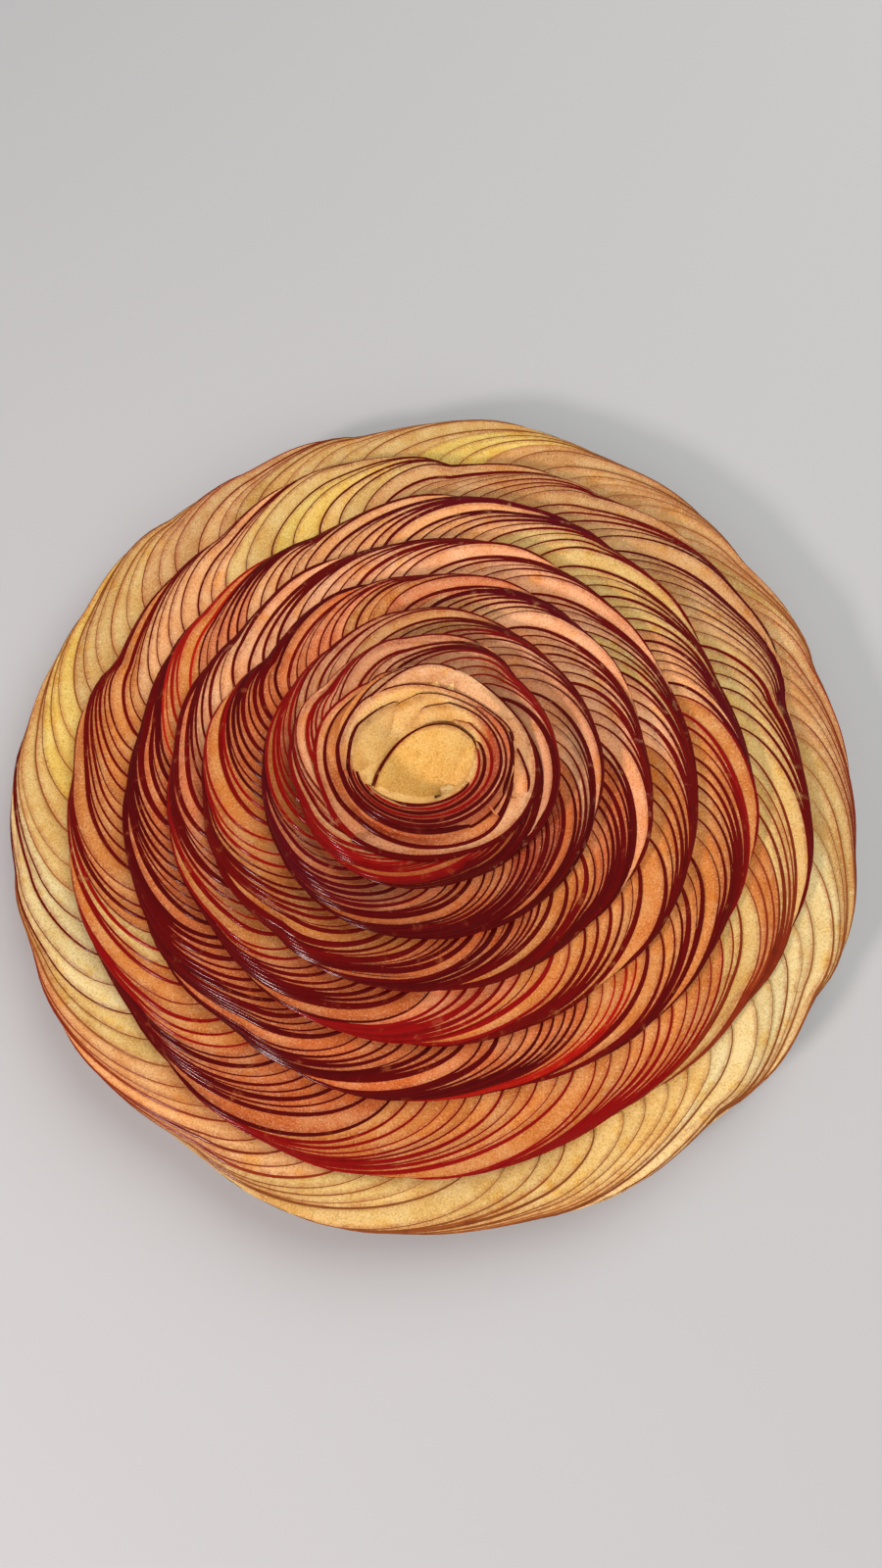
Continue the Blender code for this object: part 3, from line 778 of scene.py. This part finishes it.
class Nodes:
    """Short calls for building a material's node tree."""

    def __init__(self, name):
        self.material = bpy.data.materials.new(name)
        self.material.use_nodes = True
        self.tree = self.material.node_tree
        self.shader = self.tree.nodes["Principled BSDF"]

    def feed(self, socket, value):
        """Links an input to another node's output, or sets its value."""
        if isinstance(value, bpy.types.NodeSocket):
            self.tree.links.new(value, socket)
        else:
            socket.default_value = (*value, 1.0) if socket.type == "RGBA" else value

    def set(self, **values):
        for key, value in values.items():
            self.feed(self.shader.inputs[key.replace("_", " ")], value)

    def add(self, kind, inputs=(), **settings):
        node = self.tree.nodes.new(kind)
        for key, value in settings.items():
            setattr(node, key, value)
        for key, value in inputs:
            self.feed(node.inputs[key], value)
        return node

    def attribute(self, name, output="Color"):
        return self.add("ShaderNodeAttribute", attribute_name=name, attribute_type="GEOMETRY").outputs[output]

    def noise(self, scale, detail=3.0, rough=0.55, stretch=None):
        place = self.add("ShaderNodeTexCoord").outputs["Object"]
        if stretch is not None:
            place = self.add("ShaderNodeMapping", (("Scale", stretch), ("Vector", place))).outputs["Vector"]
        inputs = (("Scale", scale), ("Detail", detail), ("Roughness", rough), ("Vector", place))
        return self.add("ShaderNodeTexNoise", inputs).outputs["Fac"]

    def span(self, value, low, high, to_low=0.0, to_high=1.0):
        inputs = (("From Min", low), ("From Max", high), ("To Min", to_low), ("To Max", to_high),
                  ("Value", value))
        return self.add("ShaderNodeMapRange", inputs, interpolation_type="SMOOTHSTEP").outputs["Result"]

    def times(self, a, b):
        return self.add("ShaderNodeMath", ((0, a), (1, b)), operation="MULTIPLY").outputs["Value"]

    def mix(self, share, a, b, way="MIX"):
        inputs = (("Factor", share), ("A", a), ("B", b))
        return self.add("ShaderNodeMix", inputs, data_type="RGBA", blend_type=way).outputs["Result"]

    def bump(self, height, strength, distance, under=None):
        inputs = [("Strength", strength), ("Distance", distance), ("Height", height)]
        if under is not None:
            inputs.append(("Normal", under))
        normal = self.add("ShaderNodeBump", inputs).outputs["Normal"]
        self.set(Normal=normal)
        return normal


def flesh_material():
    """Baked, glazed fruit flesh: stained next to the skin, speckled with grain and painted glints, with
    painted shade where slices meet.
    """
    n = Nodes("baked_flesh")
    n.set(Roughness=0.42, Coat_Weight=0.0, Specular_IOR_Level=0.08)
    facts = n.add("ShaderNodeSeparateXYZ", (("Vector", n.attribute("facts", "Vector")),)).outputs
    flesh = n.attribute("flesh")
    skin = n.attribute("skin")
    patches = n.noise(90.0, 4.0, 0.6)
    tone = n.mix(n.span(patches, 0.42, 0.72, 0.0, 0.45), flesh, (0.80, 0.60, 0.28), "MULTIPLY")
    tone = n.mix(n.span(patches, 0.58, 0.3, 0.0, 0.16), tone, (0.90, 0.72, 0.34), "SCREEN")
    spots = n.span(n.noise(150.0, 2.0), 0.56, 0.70, 0.0, 0.6)
    yellowed = n.times(spots, n.span(facts["X"], 0.0045, 0.001))
    tone = n.mix(yellowed, tone, (0.98, 0.80, 0.34), "MULTIPLY")
    outer = n.span(facts["Z"], 0.72, 1.0, 0.0, 0.35)
    tone = n.mix(outer, tone, (0.98, 0.70, 0.62), "MULTIPLY")
    stain = n.mix(0.35, skin, (0.66, 0.17, 0.08))
    beside = n.span(facts["X"], 0.0017, 0.0, 0.0, 0.7)
    bleed = n.times(beside, n.span(n.noise(420.0, 3.0), 0.3, 0.75, 0.4, 1.0))
    tone = n.mix(bleed, tone, stain)
    # Painted shade: the flesh darkens towards the next slice's skin, where that slice overhangs and shades
    # it.
    under = n.span(facts["Y"], 0.5, 1.05, 0.0, 0.34)
    lap = n.times(under, n.span(n.noise(260.0, 2.0), 0.3, 0.7, 0.5, 1.0))
    tone = n.mix(lap, tone, (0.60, 0.34, 0.14), "MULTIPLY")
    # Fine grain: the dark specks are the flesh's own grain, the pale specks are painted glints of the glaze.
    grain = n.noise(1900.0, 2.0, 0.6)
    tone = n.mix(n.span(grain, 0.50, 0.66, 0.0, 0.55), tone, (0.52, 0.42, 0.26), "MULTIPLY")
    tone = n.mix(n.span(grain, 0.44, 0.30, 0.0, 0.45), tone, (0.62, 0.50, 0.30), "SCREEN")
    n.set(Base_Color=tone, Roughness=n.span(n.noise(600.0, 3.0), 0.3, 0.7, 0.24, 0.5))
    coarse = n.bump(patches, 0.5, 0.0006)
    n.bump(grain, 0.6, 0.00025, coarse)
    return n.material


def skin_material():
    """Glossy baked skin with paler flecks."""
    n = Nodes("baked_skin")
    n.set(Roughness=0.3, Coat_Weight=0.38, Coat_Roughness=0.13, Specular_IOR_Level=0.0)
    skin = n.attribute("skin")
    flesh = n.attribute("flesh")
    patches = n.noise(240.0, 4.0, 0.6)
    tone = n.mix(n.span(patches, 0.58, 0.8, 0.0, 0.3), skin, flesh)
    tone = n.mix(n.span(patches, 0.48, 0.25, 0.0, 0.5), tone, (0.60, 0.30, 0.30), "MULTIPLY")
    n.set(Base_Color=tone, Roughness=n.span(n.noise(900.0, 2.0), 0.3, 0.7, 0.12, 0.45))
    n.bump(n.noise(800.0, 3.0), 0.5, 0.00025)
    return n.material


def crust_material(colours):
    """Dry golden crust, browned on its crags and along its edges."""
    n = Nodes("baked_crust")
    n.set(Roughness=0.78, Specular_IOR_Level=0.35)
    crust = tuple(colours.crust)
    browned = tuple(colours.browned)
    broad = n.noise(28.0, 4.0, 0.6)
    fine = n.noise(650.0, 4.0, 0.65)
    flakes = n.noise(60.0, 5.0, 0.65, (1.0, 1.0, 9.0))
    tone = n.mix(n.span(broad, 0.35, 0.68), crust, browned)
    tone = n.mix(n.span(flakes, 0.5, 0.72, 0.0, 0.65), tone, browned)
    pointed = n.add("ShaderNodeNewGeometry").outputs["Pointiness"]
    tone = n.mix(n.span(pointed, 0.50, 0.56, 0.0, 0.55), tone, browned)
    tone = n.mix(n.span(fine, 0.55, 0.75, 0.0, 0.35), tone, (0.45, 0.22, 0.07), "MULTIPLY")
    n.set(Base_Color=tone, Roughness=n.span(fine, 0.3, 0.7, 0.62, 0.9))
    coarse = n.bump(flakes, 0.6, 0.0009)
    n.bump(fine, 0.6, 0.0003, coarse)
    return n.material


def floor_material(stage):
    n = Nodes("plain_floor")
    n.set(Base_Color=stage.floor, Roughness=0.85, Specular_IOR_Level=0.2)
    return n.material


def get_material(name, make, *arguments):
    return bpy.data.materials.get(name) or make(*arguments)


def fruit_materials():
    return get_material("baked_flesh", flesh_material), get_material("baked_skin", skin_material)


def smooth_line(line, angle):
    """Values at places (or angles) along a line, by a smooth curve through its points."""
    known, values = np.array(line, float).T
    slopes = np.gradient(values, known)
    k = np.clip(np.searchsorted(known, angle, side="right") - 1, 0, len(known) - 2)
    width = known[k + 1] - known[k]
    t = (angle - known[k]) / width
    start = values[k] * (1 + 2 * t) * (1 - t) ** 2 + slopes[k] * width * t * (1 - t) ** 2
    end = values[k + 1] * t**2 * (3 - 2 * t) - slopes[k + 1] * width * t**2 * (1 - t)
    return start + end


def heart_surface(forms, angle, place):
    """Point of the heart's surface at an angle in degrees and a place across it."""
    outer, inner = forms[-2:]
    angle, place = np.broadcast_arrays(np.radians(angle), place)
    share = np.clip(1 + HOLLOW_SHARE * place, 0.02, 1)
    hollow = np.stack((BOWL_X + BOWL_RADIUS * share * np.cos(angle),
                       BOWL_Y - BOWL_RADIUS * BOWL_OVAL * share * np.sin(angle), bowl_height(share)), axis=-1)
    reach = np.clip(place, 0, 1)
    radius = lerp(inner.inner_radius, inner.ring.radius, reach)
    x = lerp(inner.inner_x, inner.ring.x, reach) + radius * np.cos(angle)
    y = lerp(inner.inner_y, inner.ring.y, reach) - radius * lerp(inner.inner_oval, 1.0, reach) * np.sin(angle)
    crest = np.stack((x, y, edge_height(inner, reach)), axis=-1)
    seat = TUCK / (outer.ring.radius - outer.inner_radius)
    reach = lerp(seat, 1, np.clip(place - 1, 0, 1))
    x, y = plan_point(outer, reach, angle, 0.0)
    step = inner.low + CAD_THICKNESS[-1] + GAP - float(edge_height(outer, seat))
    fade = np.clip((place - 1) / 0.45, 0, 1)
    z = edge_height(outer, reach) + step * (1 - fade * fade * (3 - 2 * fade))
    valley = np.stack((x, y, z), axis=-1)
    place = place[..., None]
    return np.where(place <= 0, hollow, np.where(place <= 1, crest, valley))


def inner_gap(wrap, angle, place):
    """How far the next line inside a wrap's own line is, at each angle along it."""
    none = 9.0
    gap = np.full(len(angle), none)
    for other in WRAPS:
        first, last = other.line[0][0], other.line[-1][0]
        for turn in (-720, -360, 0, 360, 720):
            moved = angle + turn
            inside = (moved >= first) & (moved <= last)
            if other is wrap and turn == 0 or not inside.any():
                continue
            away = place - smooth_line(other.line, np.clip(moved, first, last))
            close = inside & (away > LEAST_GAP)
            gap = np.where(close, np.minimum(gap, away), gap)
    gap = np.where(gap == none, OPEN_GAP, np.minimum(gap, WIDE_GAP))
    half = SMOOTH_ROWS
    padded = np.concatenate((np.full(half, gap[0]), gap, np.full(half, gap[-1])))
    smooth = np.convolve(padded, np.hanning(2 * half + 3)[1:-1] / (half + 1), "valid")
    if wrap.square == "end" and place[-1] < END_PLACE:
        smooth = smooth * np.clip((angle[-1] - angle) / END_TURN, END_SHARE, 1)
    return smooth


def heart_wrap(shell, wrap, forms, colours, rng, cell, cells):
    """One long slice of the heart, laid along its line: its flesh runs in under the next one."""
    first, last = wrap.line[0][0], wrap.line[-1][0]
    rows = max(int((last - first) / WRAP_STEP), 12)
    angle = np.linspace(first, last, rows)
    place = smooth_line(wrap.line, angle)
    gap = inner_gap(wrap, angle, place)
    taper = np.ones(rows)
    if wrap.square != "start":
        taper = np.minimum(taper, (angle - first) / (WRAP_TAPER if place[0] > 0 else LONG_TAPER))
    if wrap.square != "end":
        taper = np.minimum(taper, (last - angle) / WRAP_TAPER)
    taper = taper * (2 - taper)
    stations = np.array((0.0,) + FLESH_STATIONS[:-1] + 2 * (LAST_STATION,) + UNDER_STATIONS[1:])
    inward = place[:, None] - gap[:, None] * stations[None, :]
    points = heart_surface(forms, angle[:, None], inward)
    lift = wrap.lift * MM * taper - WRAP_SINK * (1 - taper)
    wave = WRAP_WAVE * np.sin(np.radians(angle) * rng.uniform(5, 9) + rng.uniform(0, 6))
    points[..., 2] += (lift + wave)[:, None] - WRAP_THICKNESS * stations[None, :]
    wider = 1 + WIDEST_SHARE * np.cos(np.radians(angle - WIDEST_ANGLE))
    width = wrap.width * MM * (0.45 + 0.55 * taper) * wider
    grid = cross_section(points[:, 0].copy(), points[:, 1:], WRAP_THICKNESS, width[:, None])
    flesh = tuned(getattr(colours, wrap.flesh), rng, WRAP_FLESH_SPREAD)
    skin = tuned(getattr(colours, wrap.skin), rng, WRAP_SKIN_SPREAD)
    columns = grid.shape[1]
    facts = np.zeros((rows, columns, 3))
    start = len(SKIN_PROFILE)
    end = start + len(FLESH_STATIONS)
    for k in range(start, columns):
        facts[:, k, 0] = np.linalg.norm(grid[:, k, :2] - grid[:, start - 1, :2], axis=1)
        # The place in the lap sets the painted shade under the next line; where no line follows inside, a low
        # place gives little of it.
        facts[:, k, 1] = np.where(gap < OPEN_GAP, stations[1 + k - start], 0.2) if k < end else 1.0
    facts[:, :, 2] = 1.0
    deep = np.ones((rows, columns, 1))
    deep[:, start:, 0] = np.clip((inward[:, 1:] - HOLLOW_EDGE) / HOLLOW_FADE, 0, 1)
    deep[:, :start, 0] = np.clip((place[:, None] - HOLLOW_EDGE) / HOLLOW_FADE, 0, 1)
    # Near-side darkening towards the stained tone: partly the flesh's own stain, partly painted shade on the
    # near part of the outer wraps such as the cream one.
    off_middle = np.abs((angle + (180 - NEAR_MIDDLE)) % 360 - 180)
    near_side = np.clip(NEAR_PEAK - off_middle / NEAR_TURN, 0, 1)
    stain = near_side * np.clip(STAIN_AND_SHADE_REACH - place, 0, STAIN_AND_SHADE_MOST)
    flesh = lerp(np.array(flesh), np.array(colours.stained), stain[:, None, None])
    flesh = lerp(np.array(colours.hollow), flesh, deep)
    shell.add_grid(grid, slice_finish(), slice_uv(cell, cells, rows), flesh, skin, facts)


def path_point(points, share):
    """Plan points in metres at shares of the length of a smooth line through points in millimetres."""
    steps = np.linalg.norm(np.diff(np.array(points), axis=0), axis=1)
    known = np.concatenate(((0.0,), np.cumsum(steps))) / steps.sum()
    places = [smooth_line(np.column_stack((known, axis)), share) for axis in np.array(points).T]
    return np.stack(places, axis=-1) * MM


def hollow_height(x, y):
    share = np.hypot((x - BOWL_X) / BOWL_RADIUS, (y - BOWL_Y) / (BOWL_RADIUS * BOWL_OVAL))
    return bowl_height(np.minimum(share, 0.95))


def arch_slice(shell, colours):
    """The slice that arches over the hollow: its skin on the far side and one broad face down to its foot."""
    share = np.linspace(0.02, 1, ARCH_ROWS)
    line = path_point(ARCH_LINE, share)
    foot = path_point(ARCH_FOOT, share)
    stations = np.array(FLESH_STATIONS + UNDER_STATIONS) / FLESH_STATIONS[-1]
    stations = np.concatenate(((0.0,), stations))[None, :, None]
    plan = lerp(line[:, None], foot[:, None], stations)
    top = hollow_height(*line.T) + ARCH_LIFT + ARCH_RISE * np.sin(math.pi * share)
    down = stations[..., 0]
    dome = ARCH_DOME * np.sin(math.pi * down) * np.sin(math.pi * share)[:, None]
    z = lerp(top[:, None], ARCH_LOW, down) + dome
    points = np.concatenate((plan, z[..., None]), axis=-1)
    width = ARCH_SKIN * np.interp(share, (0, 0.2, 0.4, 0.6, 1.0), (1.2, 1.1, 0.8, 0.6, 0.5))
    grid = cross_section(points[:, 0].copy(), points[:, 1:], WRAP_THICKNESS, width[:, None])
    facts = np.zeros(grid.shape)
    start = len(SKIN_PROFILE)
    facts[:, start:, 0] = np.linalg.norm(grid[:, start:, :2] - grid[:, start - 1:start, :2], axis=2)
    facts[..., 1] = 0.2
    facts[..., 2] = 1.0
    uv = slice_uv((0, 0), (1, 1), ARCH_ROWS)
    shell.add_grid(grid, slice_finish(), uv, tuple(colours.arch), tuple(colours.wine), facts)
    for k, (middle, size, tone) in enumerate(CRUMBS):
        add_crumb(shell, middle, size, tuple(getattr(colours, tone)), 0.002 + 0.013 * k)


def add_crumb(shell, middle, size, tone, strip):
    """A small uneven lump of flesh."""
    tilt = np.linspace(0.1, 0.9, 8)[:, None] * math.pi
    turn = -np.linspace(0, TURN, 16, endpoint=False)[None, :]
    uneven = 1 + 0.22 * np.sin(2 * turn + 1.3) + 0.12 * np.sin(5 * turn + 0.4)
    x = middle[0] + size[0] * np.sin(tilt) * np.cos(turn) * uneven
    y = middle[1] + size[1] * np.sin(tilt) * np.sin(turn) * uneven
    z = middle[2] + size[2] * np.cos(tilt) * (1 + 0.2 * np.sin(3 * turn))
    grid = np.stack((x, y, z), axis=-1) * MM
    facts = np.broadcast_to(np.array((0.01, 0.2, 1.0)), grid.shape)
    uv = (strip + np.linspace(0, 0.01, 8), np.linspace(0.02, 0.98, 17))
    shell.add_grid(grid, np.zeros(16, int), uv, tone, tone, facts)


def heart_core(shell, forms, tone):
    """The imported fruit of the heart, hollow on top, down to the pastry."""
    before, form = forms[-2:]
    around = np.linspace(0, TURN, HEART_SEGMENTS + 1)
    level = np.ones(HEART_SEGMENTS + 1)
    rows = [level_ring(around, BOWL_X, BOWL_Y, BOWL_RADIUS * 0.02, BOWL_OVAL, BOWL_FLOOR)]
    for share in (0.12, 0.25, 0.4, 0.55, 0.68, 0.78, 0.86, 0.92, 0.97, 1.0):
        z = float(bowl_height(share))
        rows.append(level_ring(around, BOWL_X, BOWL_Y, BOWL_RADIUS * share, BOWL_OVAL, z))
    for reach in (0.15, 0.4, 0.7, 0.9, 0.98):
        x, y = plan_point(form, reach * level, around, 0.0020)
        z = (float(edge_height(form, reach)) - 0.0006) * level
        rows.append(np.stack((x, y, z), axis=-1))
    radius = before.inner_radius - CORE_GAP
    foot = (form.ring.x, form.ring.y, radius, form.ring.oval)
    rows.append(level_ring(around, *foot, before.inner_z - CORE_GAP))
    rows.append(level_ring(around, *foot, CORE_FLOOR))
    rows.append(level_ring(around, form.ring.x, form.ring.y, 0.0004, 1.0, CORE_FLOOR))
    if len(rows) % 2:
        rows.insert(-1, level_ring(around, form.ring.x, form.ring.y, radius / 2, 1.0, CORE_FLOOR))
    shell.add_core(rows[::-1], (0.01, 0.2, 1.0), 0.2, tone)


def bowl_height(share):
    """Height of the hollow at a share of its radius: nearly flat on its floor, steep at its wall."""
    return BOWL_FLOOR + BOWL_DISH * share**2.5 + BOWL_WALL * share**8


def case_profile(radius, height):
    """Corners of the case's outline from the middle of its top round to the middle of its base."""
    foot = radius - CASE_SLOPE
    edge = CASE_EDGE
    bends = [math.pi / 2 * k / 6 for k in range(7)]
    profile = [(radius * k / 8, height) for k in range(1, 8)]
    profile += [(radius - edge + edge * math.sin(a), height - edge + edge * math.cos(a)) for a in bends]
    for k in range(1, CASE_ROWS):
        profile.append((lerp(radius, foot, k / CASE_ROWS), lerp(height - edge, edge, k / CASE_ROWS)))
    profile += [(foot - edge + edge * math.cos(a), edge - edge * math.sin(a)) for a in bends]
    return profile + [(foot * k / 4, 0.0) for k in range(3, 0, -1)]


def craggy(bm, radius, height, relief):
    """Draws the side of the case in where its layers part and its surface has cracked."""
    for corner in bm.verts:
        flat = Vector((corner.co.x, corner.co.y, 0.0))
        if flat.length < radius * 0.9 or corner.co.z < 0.0004 or corner.co.z > height - 0.0003:
            continue
        out = flat.normalized()
        place = corner.co * 55
        layers = noise.noise(Vector((place.x * 0.6, place.y * 0.6, place.z * 9)))
        crags = noise.fractal(corner.co * 160, 0.8, 2.1, 4)
        pits = max(0.0, noise.noise(corner.co * 420) - 0.35)
        depth = 0.5 + 0.55 * layers + 0.45 * crags + 1.6 * pits
        corner.co -= out * relief * max(0.0, depth)


class TART_OT_pastry_case(bpy.types.Operator):
    """Builds the baked pastry case with a craggy side"""

    bl_idname = "tart.pastry_case"
    bl_label = "Pastry Case"

    def execute(self, context):
        low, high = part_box("pastry_case")
        radius = (high.x - low.x) / 2
        height = high.z - low.z
        bm = bmesh.new()
        turns = [TURN * i / CASE_SEGMENTS for i in range(CASE_SEGMENTS)]
        loops = []
        for r, z in case_profile(radius, height):
            loops.append([bm.verts.new((r * math.cos(turn), r * math.sin(turn), z)) for turn in turns])
        for upper, lower in zip(loops, loops[1:]):
            for i in range(CASE_SEGMENTS):
                k = (i + 1) % CASE_SEGMENTS
                bm.faces.new((upper[i], lower[i], lower[k], upper[k]))
        bm.faces.new(loops[0])
        bm.faces.new(loops[-1][::-1])
        craggy(bm, radius, height, context.scene.tart_sizes.crust_relief)
        bm.normal_update()
        mesh = bpy.data.meshes.new("baked_case")
        bm.to_mesh(mesh)
        bm.free()
        mesh.shade_smooth()
        mesh.materials.append(get_material("baked_crust", crust_material, context.scene.tart_colours))
        obj = bpy.data.objects.new("baked_case", mesh)
        context.scene.collection.objects.link(obj)
        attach(obj, BODY)
        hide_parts("pastry_case")
        return {"FINISHED"}


class TART_OT_fruit_rings(bpy.types.Operator):
    """Lays the seven outer rings of thin slices, each over its own core"""

    bl_idname = "tart.fruit_rings"
    bl_label = "Fruit Rings"

    def execute(self, context):
        sizes = context.scene.tart_sizes
        colours = context.scene.tart_colours
        materials = fruit_materials()
        forms = ring_forms()
        for form in forms[:-1]:
            shell = Shell()
            slices = lay_slices(form, sizes, colours)
            columns = max(1, round(math.sqrt(len(slices) / CELL_SHAPE)))
            cells = (columns, math.ceil(len(slices) / columns))
            for k, piece in enumerate(slices):
                cell = (k % columns, k // columns)
                ring_slice(shell, form, piece, slices[(k + 1) % len(slices)], cell, cells)
            ring_core(shell, form, forms, sizes, slices[0].flesh)
            obj = shell.make(f"slices_of_ring_{form.index + 1}", materials)
            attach(obj, BODY)
            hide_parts(f"fruit_ring_{form.index + 1}")
        return {"FINISHED"}


class TART_OT_heart(bpy.types.Operator):
    """Wraps the long slices of the heart round its hollow, with the last slice inside it"""

    bl_idname = "tart.heart"
    bl_label = "Heart"

    def execute(self, context):
        colours = context.scene.tart_colours
        materials = fruit_materials()
        forms = ring_forms()
        rng = random.Random(context.scene.tart_sizes.seed + 100)
        shell = Shell()
        for k, wrap in enumerate(WRAPS):
            heart_wrap(shell, wrap, forms, colours, rng, (0, k), (1, len(WRAPS)))
        heart_core(shell, forms, tuple(colours.hollow))
        heart = shell.make("slices_of_ring_8", materials)
        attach(heart, BODY)
        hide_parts("fruit_ring_8")
        shell = Shell()
        arch_slice(shell, colours)
        last = shell.make("arch_slice", materials)
        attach(last, BODY)
        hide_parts("heart_slice")
        return {"FINISHED"}


class TART_OT_stage(bpy.types.Operator):
    """Sets up the plain floor, the soft lights and the camera"""

    bl_idname = "tart.stage"
    bl_label = "Stage"

    def execute(self, context):
        stage = context.scene.tart_stage
        mesh = bpy.data.meshes.new("floor")
        corners = [(x * FLOOR_HALF, y * FLOOR_HALF, 0) for x, y in ((-1, -1), (1, -1), (1, 1), (-1, 1))]
        mesh.from_pydata(corners, [], [(0, 1, 2, 3)])
        mesh.materials.append(floor_material(stage))
        floor = bpy.data.objects.new("floor", mesh)
        context.scene.collection.objects.link(floor)

        world = bpy.data.worlds.new("even_light")
        world.use_nodes = True
        background = world.node_tree.nodes["Background"]
        background.inputs["Color"].default_value = SKY_TINT
        background.inputs["Strength"].default_value = stage.fill
        context.scene.world = world

        for name, place, size, share, tint in LIGHTS:
            light = bpy.data.lights.new(name, "AREA")
            light.shape = "DISK"
            light.size = size
            light.energy = stage.key_power * share
            light.color = tint
            lamp = bpy.data.objects.new(name, light)
            lamp.location = place
            lamp.rotation_euler = (Vector(place) - Vector(LIGHT_TARGET)).to_track_quat("Z", "Y").to_euler()
            lamp.visible_glossy = name == "gloss"
            context.scene.collection.objects.link(lamp)

        back = Vector((0.0, -math.cos(stage.elevation), math.sin(stage.elevation)))
        lens = bpy.data.cameras.new("camera")
        lens.lens = stage.lens
        lens.sensor_width = 36
        lens.clip_start = 0.01
        camera = bpy.data.objects.new("camera", lens)
        camera.location = Vector(CAMERA_TARGET) + back * stage.distance
        camera.rotation_euler = back.to_track_quat("Z", "Y").to_euler()
        context.scene.collection.objects.link(camera)
        context.scene.camera = camera
        context.scene.view_settings.view_transform = "Standard"
        return {"FINISHED"}


class TART_PT_panel(bpy.types.Panel):
    """Builds the tart piece by piece"""

    bl_idname = "TART_PT_panel"
    bl_label = "Fruit Rose Tart"
    bl_space_type = "VIEW_3D"
    bl_region_type = "UI"
    bl_category = "Tart"

    def draw(self, context):
        layout = self.layout
        for name in STEPS:
            layout.operator(f"tart.{name}")
        for group in (context.scene.tart_sizes, context.scene.tart_colours, context.scene.tart_stage):
            box = layout.box()
            for key in group.__annotations__:
                box.prop(group, key)


STEPS = ("pastry_case", "fruit_rings", "heart", "stage")
CLASSES = (TartSizes, TartColours, TartStage, TART_OT_pastry_case, TART_OT_fruit_rings, TART_OT_heart,
           TART_OT_stage, TART_PT_panel)


def register():
    for cls in CLASSES:
        bpy.utils.register_class(cls)
    bpy.types.Scene.tart_sizes = PointerProperty(type=TartSizes)
    bpy.types.Scene.tart_colours = PointerProperty(type=TartColours)
    bpy.types.Scene.tart_stage = PointerProperty(type=TartStage)


def unregister():
    del bpy.types.Scene.tart_stage
    del bpy.types.Scene.tart_colours
    del bpy.types.Scene.tart_sizes
    for cls in reversed(CLASSES):
        bpy.utils.unregister_class(cls)


def main():
    register()
    for name in STEPS:
        getattr(bpy.ops.tart, name)()


if __name__ == "__main__":
    main()
